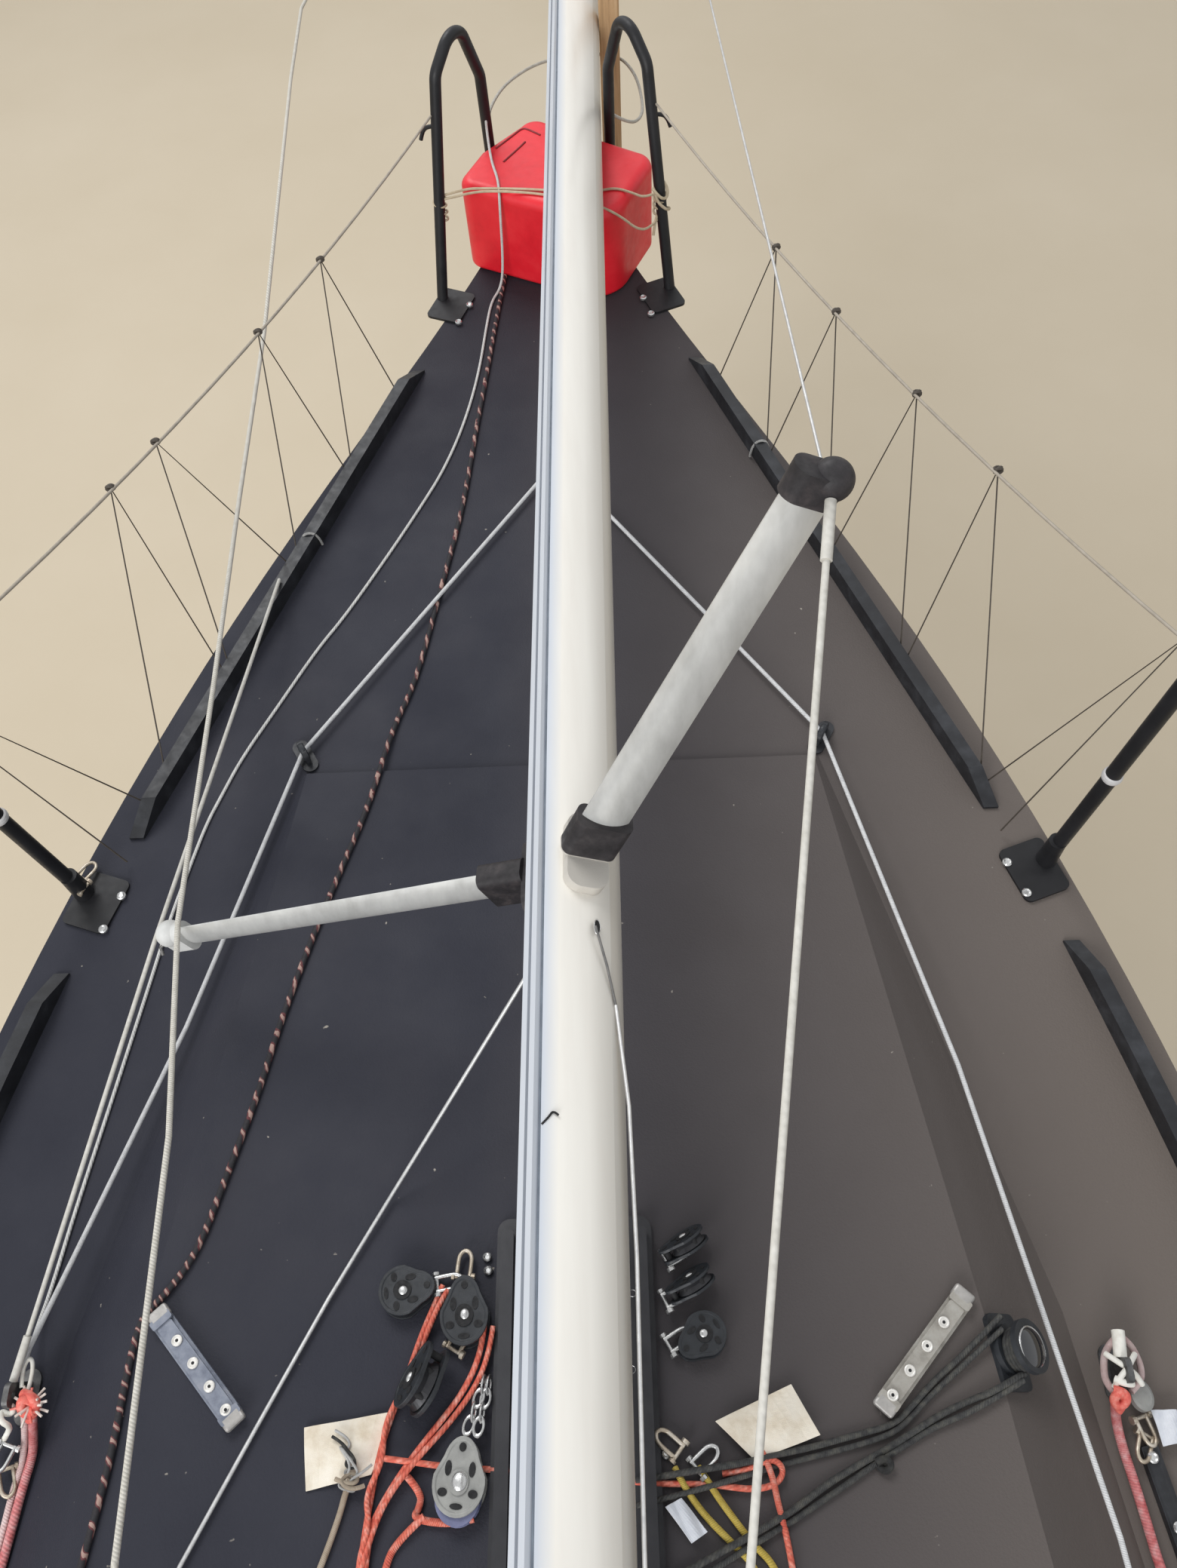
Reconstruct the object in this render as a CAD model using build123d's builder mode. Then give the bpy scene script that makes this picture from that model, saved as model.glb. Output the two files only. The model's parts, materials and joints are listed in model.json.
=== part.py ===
from build123d import *
import math
import os

# Sportboat ashore on its steel cradle, with the mast unstepped and lying over the deck.
# Millimetres. +Y is the bow, +X is starboard, +Z is up. The origin is on the ground,
# under the middle of the keel.

os.makedirs("parts", exist_ok=True)

# Driving dimensions of the hull
bow_y = 3300.0
transom_y = -4200.0
deck_z = 2370.0
deck_thickness = 20.0
hull_wall = 32.0
section_top = 30.0
arc_sag_bottom = 0.10
arc_sag_topside = 0.05

# Hull sections, evenly spaced from bow to transom:
# half beam at the deck, depth of the keel line, half breadth at the bilge, bilge depth
hull_sections = [
    (24.0, 660.0, 10.0, 560.0),
    (516.0, 880.0, 330.0, 640.0),
    (966.0, 985.0, 760.0, 670.0),
    (1170.0, 1000.0, 965.0, 655.0),
    (1250.0, 950.0, 1050.0, 615.0),
    (1250.0, 850.0, 1040.0, 550.0),
    (1190.0, 715.0, 970.0, 470.0),
]
station_gap = (bow_y - transom_y) / (len(hull_sections) - 1)
hull_stations = [(bow_y - row * station_gap, *sizes) for row, sizes in enumerate(hull_sections)]

# Coachroof, a wedge that rises aft: y, half breadth at the deck, half breadth at the top
roof_front_y = 1370.0
roof_aft_y = -900.0
roof_front_height = 8.0
roof_rise = 0.118
roof_wall = 25.0
roof_stations = [
    (roof_front_y, 476.0, 466.0),
    (430.0, 720.0, 576.0),
    (roof_aft_y, 900.0, 690.0),
]

# Cabin, cockpit and companionway
cabin_front_y = 1150.0
cabin_sole_depth = 790.0
bulkhead = 60.0
cockpit_half = 640.0
cockpit_depth = 400.0
cockpit_corner = 90.0
hatchway_half = 270.0
window_y = -420.0
window_share = 0.52
window_length = 520.0
window_width = 120.0
hatchway_front_y = -460.0
sill_height = 130.0
board_thickness = 20.0
runner_height = 14.0
runner_width = 32.0
hatch_thickness = 24.0
hatch_overlap = 42.0
hatch_travel = 400.0
fit_gap = 0.3

# Keel
keel_rest_z = 160.0
bulb_radius = 130.0
bulb_length = 1500.0
bulb_flat = 12.0
fin_root_chord = 760.0
fin_tip_chord = 520.0
fin_thickness = 92.0
foil_fullness = 0.32
foil_tail = 3.0
foil_hollow = 0.012

# Rudder
rudder_axis_gap = 75.0
rudder_chord = 360.0
rudder_thickness = 46.0
rudder_tip_z = 520.0
rudder_head_z = deck_z - 60.0
tiller_length = 1250.0

# Deck fittings
rail_height = 40.0
rail_width = 26.0
rail_inset = 58.0
tube_diameter = 25.0
stanchion_height = 612.0
stanchion_lean = 34.0
stanchion_inset = 20.0
plate_reach = 24.0
plate_aft = 18.0
hoop_height = 515.0
lifeline_diameter = 5.0
lifeline_sag = 52.0
shroud_diameter = 7.0
track_length = 178.0
track_width = 30.0
track_height = 14.0

# Mast, lying aft face up and to port
mast_chord = 140.0
mast_width = 95.0
mast_length = 10200.0
mast_x = 40.0
mast_height = 520.0
mast_at_y = 260.0
mast_slope = -0.0879
mast_skew = 0.0073
mast_foot_y = -4550.0
mast_roll = 134.5
heel_pin_radius = 6.0
spreader_y = 937.0
spreader_length = 684.0
spreader_rake = 4.3
spreader_sweep = 67.3
spreader_chord = 62.0
spreader_thickness = 22.0
tip_radius = 21.0

# Can under the mast
can_fore = 196.0
can_aft = -192.0
can_front = -118.0
can_back = 144.0
can_neck = -104.0
can_bearing = 126.0
can_turn = -26.0
can_x = 10.0
can_y = 2808.0

# Cradle
beam_height = 120.0
beam_width = 70.0
cradle_half_length = 1650.0
cradle_half_width = 1200.0
cradle_arm_y = 1250.0
arm_size = 70.0
pad_size = 240.0
arm_outreach = 90.0


def along_hull(column, y):
    """One column of the table of sections, read at y along a smooth curve."""
    last = len(hull_sections) - 1
    place = min(max((bow_y - y) / station_gap, 0), last)
    row = min(int(place), last - 1)
    t = place - row
    a, b, c, d = (hull_sections[min(max(row + step, 0), last)][column] for step in (-1, 0, 1, 2))
    if row == 0:
        a = 2 * b - c
    if row == last - 1:
        d = 2 * c - b
    return b + t * (c - a + t * (2 * a - 5 * b + 4 * c - d + t * (3 * b - a - 3 * c + d))) / 2


def half_beam(y):
    """Half beam at the deck."""
    return along_hull(0, y)


def bilge_point(y):
    """Half breadth and height of the bilge."""
    return along_hull(2, y), deck_z - along_hull(3, y)


def hull_section(station, inset=0.0):
    """Closed half-round section of the hull in the plane of one station."""
    y, beam, depth, bilge, drop = station
    keel = (0, deck_z - depth + inset)
    turn = (max(bilge - inset, 4), deck_z - drop + inset * 0.4)
    top = (max(beam - inset, 8), deck_z + section_top)
    port_turn = (-turn[0], turn[1])
    port_top = (-top[0], top[1])
    with BuildSketch(Plane.XZ.offset(-y)) as section:
        with BuildLine():
            SagittaArc(keel, turn, -arc_sag_bottom * math.dist(keel, turn))
            SagittaArc(turn, top, -arc_sag_topside * math.dist(turn, top))
            Line(top, port_top)
            SagittaArc(port_top, port_turn, -arc_sag_topside * math.dist(turn, top))
            SagittaArc(port_turn, keel, -arc_sag_bottom * math.dist(keel, turn))
        make_face()
    return section.sketch


def roof_z(y):
    """Height of the coachroof's top at y."""
    return deck_z + roof_front_height + roof_rise * (roof_front_y - y)


def roof_section(station, inset=0.0):
    """Section of the coachroof: upright at the deck, bevelled to a flat top."""
    y, base, top = station
    height = roof_z(y) - inset
    foot = deck_z - (1 if inset else 0)
    with BuildSketch(Plane.XZ.offset(-y)) as section:
        with BuildLine():
            Polyline((base - inset, foot), (top - inset, height), (inset - top, height),
                     (inset - base, foot), close=True)
        make_face()
    return section.sketch


def roof_breadth(y, column):
    """Half breadth of the coachroof at y: column 1 at the deck, column 2 at the top."""
    for first, second in zip(roof_stations, roof_stations[1:]):
        if second[0] <= y <= first[0]:
            share = (first[0] - y) / (first[0] - second[0])
            return first[column] + (second[column] - first[column]) * share
    return roof_stations[-1][column]


roof_normal = Vector(0, roof_rise, 1).normalized()


def roof_plane(x, y, turn=0.0, lift=0.0):
    """Plane on the coachroof's top, turned about its normal."""
    across = Vector(1, 0, 0).rotate(Axis((0, 0, 0), tuple(roof_normal)), turn)
    spot = Vector(x, y, roof_z(y)) + roof_normal * lift
    return Plane(origin=spot, x_dir=across, z_dir=roof_normal)


def bevel_plane(side, y, share, lift=0.0):
    """Plane on the coachroof's bevelled side, share of the way up it at y, x along the bevel."""
    def spot(at):
        foot = Vector(side * roof_breadth(at, 1), at, deck_z)
        head = Vector(side * roof_breadth(at, 2), at, roof_z(at))
        return foot * (1 - share) + head * share, head - foot
    here, up = spot(y)
    along = (spot(y + 40)[0] - spot(y - 40)[0]).normalized()
    out = along.cross(up).normalized() * side
    return Plane(origin=here + out * lift, x_dir=along, z_dir=out)


def mast_point(y, lift=0.0):
    """Point on the mast's middle line at y."""
    reach = y - mast_at_y
    return Vector(mast_x + mast_skew * reach, y, deck_z + mast_height + mast_slope * reach + lift)


def rod_plane(start, end):
    """Plane at start that faces end."""
    return Plane(origin=start, z_dir=(Vector(end) - Vector(start)))


# The hull below the deck, with the cabin and the cockpit well
with BuildPart() as canoe:
    for station in hull_stations:
        add(hull_section(station))
    loft()

with BuildPart() as cabin_space:
    for station in hull_stations[1:6]:
        add(hull_section(station, hull_wall))
    loft()
    cabin_length = cabin_front_y - (roof_aft_y + bulkhead / 2)
    cabin_middle = (cabin_front_y + roof_aft_y + bulkhead / 2) / 2
    with Locations((0, cabin_middle, deck_z - cabin_sole_depth / 2)):
        Box(4 * half_beam(0), cabin_length, cabin_sole_depth, mode=Mode.INTERSECT)

cockpit_front_y = roof_aft_y - bulkhead / 2
cockpit_sole_z = deck_z - cockpit_depth
sill_z = cockpit_sole_z + sill_height

with BuildPart() as cockpit_space:
    with BuildSketch(Plane.XY.offset(cockpit_sole_z)):
        with BuildLine():
            FilletPolyline((-cockpit_half, transom_y - 50), (-cockpit_half, cockpit_front_y),
                           (cockpit_half, cockpit_front_y), (cockpit_half, transom_y - 50),
                           radius=cockpit_corner)
            Line((cockpit_half, transom_y - 50), (-cockpit_half, transom_y - 50))
        make_face()
    extrude(amount=cockpit_depth + 100)

with BuildPart() as hatchway_space:
    with Locations((0, roof_aft_y, sill_z)):
        Box(2 * hatchway_half, bulkhead + 2, deck_z + 10 - sill_z,
            align=(Align.CENTER, Align.CENTER, Align.MIN))

with BuildPart() as hull:
    add(canoe.part)
    split(bisect_by=Plane.XY.offset(deck_z - deck_thickness), keep=Keep.BOTTOM)
    add(cabin_space.part, mode=Mode.SUBTRACT)
    add(cockpit_space.part, mode=Mode.SUBTRACT)
    add(hatchway_space.part, mode=Mode.SUBTRACT)
hull.part.label = "hull"
export_step(hull.part, "parts/hull.step")

# The deck, opened under the coachroof and over the cockpit
with BuildPart() as deck:
    add(canoe.part)
    split(bisect_by=Plane.XY.offset(deck_z), keep=Keep.BOTTOM)
    split(bisect_by=Plane.XY.offset(deck_z - deck_thickness), keep=Keep.TOP)
    add(cockpit_space.part, mode=Mode.SUBTRACT)
    add(hatchway_space.part, mode=Mode.SUBTRACT)
    with BuildSketch(Plane.XY.offset(deck_z)):
        with BuildLine():
            front = roof_breadth(cabin_front_y, 1) - 3 * roof_wall
            aft = roof_breadth(roof_aft_y, 1) - 3 * roof_wall
            Polyline((front, cabin_front_y), (aft, roof_aft_y + bulkhead / 2),
                     (-aft, roof_aft_y + bulkhead / 2), (-front, cabin_front_y), close=True)
        make_face()
    extrude(amount=-deck_thickness, mode=Mode.SUBTRACT)
deck.part.label = "deck"
export_step(deck.part, "parts/deck.step")

# The coachroof, a hollow wedge with the hatchway cut in its top and aft wall
with BuildPart() as roof_space:
    for station in [(cabin_front_y, roof_breadth(cabin_front_y, 1), roof_breadth(cabin_front_y, 2)),
                    roof_stations[1],
                    (roof_aft_y + bulkhead / 2, roof_breadth(roof_aft_y + bulkhead / 2, 1),
                     roof_breadth(roof_aft_y + bulkhead / 2, 2))]:
        add(roof_section(station, roof_wall))
    loft(ruled=True)

hatchway_length = hatchway_front_y - roof_aft_y + 10
with BuildPart() as coachroof:
    for station in roof_stations:
        add(roof_section(station))
    loft(ruled=True)
    add(roof_space.part, mode=Mode.SUBTRACT)
    with Locations((0, hatchway_front_y, deck_z - 5)):
        Box(2 * hatchway_half, hatchway_length, roof_z(roof_aft_y) - deck_z + 300,
            align=(Align.CENTER, Align.MAX, Align.MIN), mode=Mode.SUBTRACT)
    for side in (-1, 1):
        with BuildSketch(bevel_plane(side, window_y, window_share)):
            SlotOverall(window_length, window_width)
        extrude(amount=3 * roof_wall, both=True, mode=Mode.SUBTRACT)
coachroof.part.label = "coachroof"
export_step(coachroof.part, "parts/coachroof.step")

# Panes seated in the two cabin windows
with BuildPart() as cabin_windows:
    for side in (-1, 1):
        with BuildSketch(bevel_plane(side, window_y, window_share, lift=-8)):
            SlotOverall(window_length - fit_gap, window_width - fit_gap)
        extrude(amount=8)
cabin_windows.part.label = "cabin_windows"
export_step(cabin_windows.part, "parts/cabin_windows.step")

# Runners of the sliding hatch, on the coachroof's top
runner_x = hatchway_half + runner_width / 2 + 6
hatch_length = hatchway_front_y - roof_aft_y + hatch_overlap
hatch_aft_y = roof_aft_y
runner_length = hatch_length + hatch_travel
slope_length = math.hypot(1, roof_rise)
with BuildPart() as hatch_runners:
    for side in (-1, 1):
        with BuildSketch(roof_plane(side * runner_x, roof_aft_y + runner_length / 2)):
            RectangleRounded(runner_width, runner_length * slope_length - 30, 8)
        extrude(amount=runner_height)
hatch_runners.part.label = "hatch_runners"
export_step(hatch_runners.part, "parts/hatch_runners.step")

# Sliding companionway hatch with its grab bar
hatch_half = runner_x + runner_width / 2
with BuildPart() as companionway_hatch:
    hatch_middle_y = hatch_aft_y + hatch_length / 2
    with BuildSketch(roof_plane(0, hatch_middle_y, lift=runner_height + fit_gap)):
        RectangleRounded(2 * hatch_half, hatch_length * slope_length, 40)
    extrude(amount=hatch_thickness)
    top_edges = companionway_hatch.faces().sort_by(SortBy.AREA)[-2:].sort_by(Axis.Z)[-1].edges()
    fillet(top_edges, radius=9)
    with BuildSketch(roof_plane(0, hatch_aft_y + 70, lift=runner_height + fit_gap + hatch_thickness)):
        RectangleRounded(300, 30, 12)
    extrude(amount=22)
companionway_hatch.part.label = "companionway_hatch"
export_step(companionway_hatch.part, "parts/companionway_hatch.step")

# Washboard that closes the hatchway
board_y = roof_aft_y + bulkhead / 2 - 14 - board_thickness
with BuildPart() as washboard:
    with BuildSketch(Plane.XZ.offset(-board_y)):
        board_top = roof_z(board_y + board_thickness) + runner_height - 6
        with BuildLine():
            Polyline((-hatchway_half + fit_gap, sill_z), (hatchway_half - fit_gap, sill_z),
                     (hatchway_half - fit_gap, board_top - 12), (0, board_top),
                     (-hatchway_half + fit_gap, board_top - 12), close=True)
        make_face()
    extrude(amount=-board_thickness)
washboard.part.label = "washboard"
export_step(washboard.part, "parts/washboard.step")

# Keel fin and bulb
keel_top_z = deck_z - hull_stations[4][2]
bulb_z = keel_rest_z + bulb_radius - bulb_flat


def foil_section(z, nose_y, chord, thickness):
    """Symmetric foil in a level plane, nose forward."""
    with BuildSketch(Plane.XY.offset(z)) as foil:
        with BuildLine():
            widest = nose_y - foil_fullness * chord
            tail = nose_y - chord
            half = thickness / 2
            EllipticalCenterArc((0, widest), half, foil_fullness * chord, 0, arc_size=180)
            SagittaArc((-half, widest), (-foil_tail, tail), foil_hollow * chord)
            Line((-foil_tail, tail), (foil_tail, tail))
            SagittaArc((foil_tail, tail), (half, widest), foil_hollow * chord)
        make_face()
    return foil.sketch


with BuildPart() as bulb_form:
    with BuildSketch(Plane.YZ):
        with BuildLine():
            shoulder_y = bulb_length * 0.10
            nose = (bulb_length * 0.42, bulb_z)
            tail = (-bulb_length * 0.58, bulb_z)
            shoulder = (shoulder_y, bulb_z + bulb_radius)
            EllipticalCenterArc((shoulder_y, bulb_z), nose[0] - shoulder_y, bulb_radius, 0, arc_size=90)
            TangentArc(shoulder, tail, tangent=(-1, 0))
            Line(tail, nose)
        make_face()
    revolve(axis=Axis((0, 0, bulb_z), (0, 1, 0)))
    split(bisect_by=Plane.XY.offset(keel_rest_z), keep=Keep.TOP)

with BuildPart() as keel_fin:
    add(foil_section(keel_top_z + 40, fin_root_chord / 2, fin_root_chord, fin_thickness))
    add(foil_section(bulb_z, fin_tip_chord / 2 - 20, fin_tip_chord, fin_thickness * 0.72))
    loft(ruled=True)
    add(bulb_form.part, mode=Mode.SUBTRACT)
    add(hull.part, mode=Mode.SUBTRACT)
keel_fin.part.label = "keel_fin"
export_step(keel_fin.part, "parts/keel_fin.step")

with BuildPart() as keel_bulb:
    add(bulb_form.part)
keel_bulb.part.label = "keel_bulb"
export_step(keel_bulb.part, "parts/keel_bulb.step")

# Toe rails along the deck edge, with gaps at the stanchions: y of each end of each rail
toe_rail_spans = [(2425, 1250), (995, -520), (-760, -2250), (-2500, -3170), (-3430, -3850)]
for side, name in ((-1, "toe_rail_port"), (1, "toe_rail_starboard")):
    with BuildPart() as toe_rail:
        for fore, aft in toe_rail_spans:
            middle = (fore + aft) / 2
            line_x = [half_beam(y) - rail_inset for y in (fore, middle, aft)]
            with BuildSketch(Plane.XY.offset(deck_z)):
                with BuildLine():
                    outer = [(side * (x + rail_width / 2), y)
                             for x, y in zip(line_x, (fore, middle + 0.5, aft))]
                    inner = [(side * (x - rail_width / 2), y)
                             for x, y in zip(line_x, (fore, middle + 0.5, aft))]
                    ThreePointArc(*outer)
                    ThreePointArc(*inner)
                    Line(outer[0], inner[0])
                    Line(outer[2], inner[2])
                make_face()
            extrude(amount=rail_height)
        ends = toe_rail.faces().filter_by(Plane.XZ).edges().filter_by(Axis.X).group_by(Axis.Z)[-1]
        chamfer(ends, length=rail_height * 0.85, length2=rail_height * 1.6)
    toe_rail.part.label = name
    export_step(toe_rail.part, f"parts/{name}.step")

# Split pulpit: one arched hoop each side of the stem, and each hoop's two feet
hoop_route = [(270, 2668, 0), (222, 2790, hoop_height - 55), (174, 2862, hoop_height + 22),
              (142, 2930, hoop_height - 140), (140, 2962, 0)]
# x and y of each foot, length, width, turn of its plate
hoop_feet = [(248, 2642, 104, 84, 22), (146, 2967, 54, 40, 40)]
for side, name in ((-1, "pulpit_port"), (1, "pulpit_starboard")):
    points = [Vector(side * x, y, deck_z + z) for x, y, z in hoop_route]
    with BuildPart() as pulpit:
        with BuildLine() as route:
            FilletPolyline(*points, radius=46)
        with BuildSketch(rod_plane(points[0], points[1])):
            Circle(tube_diameter / 2)
        sweep(path=route.line)
        split(bisect_by=Plane.XY.offset(deck_z), keep=Keep.TOP)
        with BuildSketch(Plane.XY.offset(deck_z)):
            for x, y, length, width, turn in hoop_feet:
                with Locations(Location((side * x, y, 0), (0, 0, side * turn))):
                    RectangleRounded(width, length, 12)
        extrude(amount=6)
    pulpit.part.label = name
    export_step(pulpit.part, f"parts/{name}.step")

# Stanchions: y of each, from bow to stern
stanchion_rows = [("fore", 1145.0), ("mid", -640.0), ("aft", -2375.0)]
stanchion_heads = {}
for side, name in ((-1, "stanchions_port"), (1, "stanchions_starboard")):
    with BuildPart() as stanchions:
        for row, y in stanchion_rows:
            base_x = half_beam(y) - stanchion_inset
            foot = Vector(side * base_x, y, deck_z)
            head = Vector(side * (base_x + stanchion_lean), y, deck_z + stanchion_height)
            stanchion_heads[side, row] = head
            edge_turn = math.degrees(math.atan2(half_beam(y - 60) - half_beam(y + 60), 120))
            with BuildSketch(Plane.XY.offset(deck_z)):
                with Locations(Location((foot.X - side * plate_reach, y - plate_aft, 0), (0, 0, side * edge_turn))):
                    RectangleRounded(84, 104, 12)
            extrude(amount=6)
            with BuildSketch(Plane.XY.offset(deck_z + 6)):
                with Locations((foot.X, foot.Y)):
                    Circle(tube_diameter / 2 + 5)
            extrude(amount=70, taper=2)
            with BuildSketch(rod_plane(foot, head)):
                Circle(tube_diameter / 2)
            extrude(amount=stanchion_height)
        split(bisect_by=Plane.XY.offset(deck_z), keep=Keep.TOP)
    stanchions.part.label = name
    export_step(stanchions.part, f"parts/{name}.step")

# Pushpit rails at the quarters
pushpit_height = 600.0
pushpit_inset = 74.0
pushpit_fore_y = transom_y + 900
pushpit_aft_y = transom_y + 120
for side, name in ((-1, "pushpit_port"), (1, "pushpit_starboard")):
    rail_x = half_beam(pushpit_aft_y) - pushpit_inset
    fore_x = half_beam(pushpit_fore_y) - pushpit_inset
    points = [Vector(side * fore_x, pushpit_fore_y, deck_z),
              Vector(side * fore_x, pushpit_fore_y - 20, deck_z + pushpit_height),
              Vector(side * rail_x, pushpit_aft_y, deck_z + pushpit_height),
              Vector(side * (cockpit_half + 120), pushpit_aft_y - 20, deck_z + pushpit_height),
              Vector(side * (cockpit_half + 100), pushpit_aft_y, deck_z)]
    with BuildPart() as pushpit:
        with BuildLine() as route:
            FilletPolyline(*points, radius=110)
        with BuildSketch(rod_plane(points[0], points[1])):
            Circle(tube_diameter / 2)
        sweep(path=route.line)
        with BuildSketch(rod_plane(Vector(side * rail_x, pushpit_aft_y + 150, deck_z),
                                   Vector(side * rail_x, pushpit_aft_y + 150,
                                          deck_z + pushpit_height))):
            Circle(tube_diameter / 2)
        extrude(amount=pushpit_height)
        split(bisect_by=Plane.XY.offset(deck_z + 6), keep=Keep.TOP)
        feet = [(fore_x, pushpit_fore_y), (cockpit_half + 100, pushpit_aft_y),
                (rail_x, pushpit_aft_y + 150)]
        with BuildSketch(Plane.XY.offset(deck_z)):
            with Locations(*[(side * x, y) for x, y in feet]):
                Circle(34)
        extrude(amount=6)
    pushpit.part.label = name
    export_step(pushpit.part, f"parts/{name}.step")

# Lifelines from the pulpit over the stanchions to the pushpit, slack in the first span
line_drop = 14.0
line_start_x = 236.0
line_start_y = 2772.0
line_start_drop = 126.0
clear = tube_diameter / 2 + 2 * fit_gap
for side, name in ((-1, "lifeline_port"), (1, "lifeline_starboard")):
    bow_end = Vector(side * line_start_x, line_start_y, deck_z + hoop_height - line_start_drop)
    stern_end = Vector(side * (half_beam(pushpit_fore_y) - pushpit_inset), pushpit_fore_y - 18,
                       deck_z + pushpit_height - 60)
    heads = [stanchion_heads[side, row] - Vector(0, 0, line_drop) for row, _ in stanchion_rows]
    stops = [bow_end] + heads + [stern_end]
    with BuildPart() as lifeline:
        for start, end in zip(stops, stops[1:]):
            way = (end - start).normalized()
            near = start + way * clear
            far = end - way * clear
            sag = lifeline_sag if start is bow_end else lifeline_sag / 6
            with BuildLine() as hang:
                ThreePointArc(near, (near + far) / 2 - Vector(0, 0, sag), far)
            with BuildSketch(Plane(origin=near, z_dir=hang.line % 0)):
                Circle(lifeline_diameter / 2)
            sweep(path=hang.line)
    lifeline.part.label = name
    export_step(lifeline.part, f"parts/{name}.step")

# Jib tracks, angled on the coachroof's top near its edge
for side, name in ((-1, "jib_track_port"), (1, "jib_track_starboard")):
    with BuildPart() as jib_track:
        with BuildSketch(roof_plane(side * 488, 374, turn=side * 46)):
            RectangleRounded(track_length, track_width, 5)
        extrude(amount=track_height * 0.55)
        with BuildSketch(roof_plane(side * 488, 374, turn=side * 46, lift=track_height * 0.55)):
            RectangleRounded(track_length - 26, track_width - 8, 3)
        extrude(amount=track_height * 0.45)
        with BuildSketch(roof_plane(side * 488, 374, turn=side * 46, lift=track_height * 0.55)):
            with GridLocations(track_length - 13, 1, 2, 1):
                RectangleRounded(13, track_width, 3)
        extrude(amount=track_height * 0.45 + 3)
    jib_track.part.label = name
    export_step(jib_track.part, f"parts/{name}.step")

# Mast step and its collar plates on the coachroof
step_y = 290.0
step_x = 24.0
step_length = 540.0
step_width = 218.0
with BuildPart() as mast_step:
    with BuildSketch(roof_plane(step_x, step_y)):
        RectangleRounded(step_width, step_length, 18)
    extrude(amount=7)
    with BuildSketch(roof_plane(step_x, step_y, lift=7)):
        for side in (-1, 1):
            with Locations((side * (step_width / 2 - 16), 0)):
                RectangleRounded(18, step_length - 40, 6)
    extrude(amount=20)
    with BuildSketch(roof_plane(0, step_y - 60, lift=7)):
        RectangleRounded(64, 112, 24)
    extrude(amount=22)
mast_step.part.label = "mast_step"
export_step(mast_step.part, "parts/mast_step.step")

# Turning blocks round the mast step: x, y, length, width, turn
block_rows = {
    "turning_blocks_port": [(-203, 462, 78, 66, 100), (-128, 438, 92, 64, 184), (-166, 344, 96, 58, 168),
                            (-129, 236, 118, 76, 170)],
    "turning_blocks_starboard": [(180, 506, 76, 34, -62), (186, 452, 76, 34, -58), (194, 388, 84, 60, -50)],
}
for name, rows in block_rows.items():
    with BuildPart() as turning_blocks:
        for x, y, length, width, turn in rows:
            head = (length - width) / 2
            # Lower cheek, sheave and upper cheek
            for lift, thickness, inset in ((0, 5, 0), (5, 16, 8), (21, 5, 0)):
                with BuildSketch(roof_plane(x, y, turn=turn + 90, lift=lift)):
                    if inset:
                        with Locations((-head, 0)):
                            Circle(width / 2 - inset)
                        with Locations((head, 0)):
                            Rectangle(width / 2, width / 2)
                        SlotOverall(length * 0.6, width / 4)
                    else:
                        SlotOverall(length, width)
                extrude(amount=thickness)
            with BuildSketch(roof_plane(x, y, turn=turn + 90, lift=26)):
                with Locations((-head, 0)):
                    Circle(width * 0.16)
            extrude(amount=3)
    turning_blocks.part.label = name
    export_step(turning_blocks.part, f"parts/{name}.step")

# Control line drum on the starboard edge of the coachroof
drum_y = 372.0
drum_share = 0.86
with BuildPart() as line_drum:
    drum_plane = bevel_plane(1, drum_y, drum_share)
    for lift, radius, thickness in ((5, 34, 8), (13, 22, 20), (33, 34, 8)):
        with BuildSketch(drum_plane.offset(lift)):
            Circle(radius)
        extrude(amount=thickness)
    with BuildSketch(drum_plane.offset(-3)):
        RectangleRounded(96, 60, 10)
    extrude(amount=8)
    add(coachroof.part, mode=Mode.SUBTRACT)
line_drum.part.label = "line_drum"
export_step(line_drum.part, "parts/line_drum.step")

# Padeyes ahead of the coachroof, and the chainplates beside it
# name, x, y, height of the lug, width of the lug, turn, height and radius of the eye
lug_top = rail_height + 34
chain_x = 772.0
eye_drop = 16.0
chain_y = 350.0
eye_rows = [
    ("padeye_port", -474, 1411, 34, 40, 30, 18, 8.0),
    ("padeye_starboard", 484, 1409, 34, 40, -30, 18, 8.0),
    ("chainplate_port", -chain_x, chain_y, lug_top, 30, 0, lug_top - eye_drop, 5.0),
    ("chainplate_starboard", chain_x, chain_y, lug_top, 30, 0, lug_top - eye_drop, 5.0),
]
for name, x, y, lug_height, lug_width, turn, eye_height, eye_radius in eye_rows:
    turned = Plane(origin=(x, y, deck_z), x_dir=(math.cos(math.radians(90 + turn)),
                                                 math.sin(math.radians(90 + turn)), 0),
                   z_dir=(0, 0, 1))
    with BuildPart() as eye:
        with BuildSketch(turned):
            SlotOverall(74, 30)
        extrude(amount=5)
        with BuildSketch(Plane(origin=turned.origin, x_dir=turned.x_dir, z_dir=-turned.y_dir)):
            with BuildLine():
                FilletPolyline((-lug_width / 2 - 6, 0), (-lug_width / 2, lug_height), (lug_width / 2, lug_height),
                               (lug_width / 2 + 6, 0), close=True, radius=lug_width * 0.3)
            make_face()
            with Locations((0, eye_height)):
                Circle(eye_radius, mode=Mode.SUBTRACT)
        extrude(amount=4, both=True)
        split(bisect_by=Plane.XY.offset(deck_z), keep=Keep.TOP)
    eye.part.label = name
    export_step(eye.part, f"parts/{name}.step")

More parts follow.
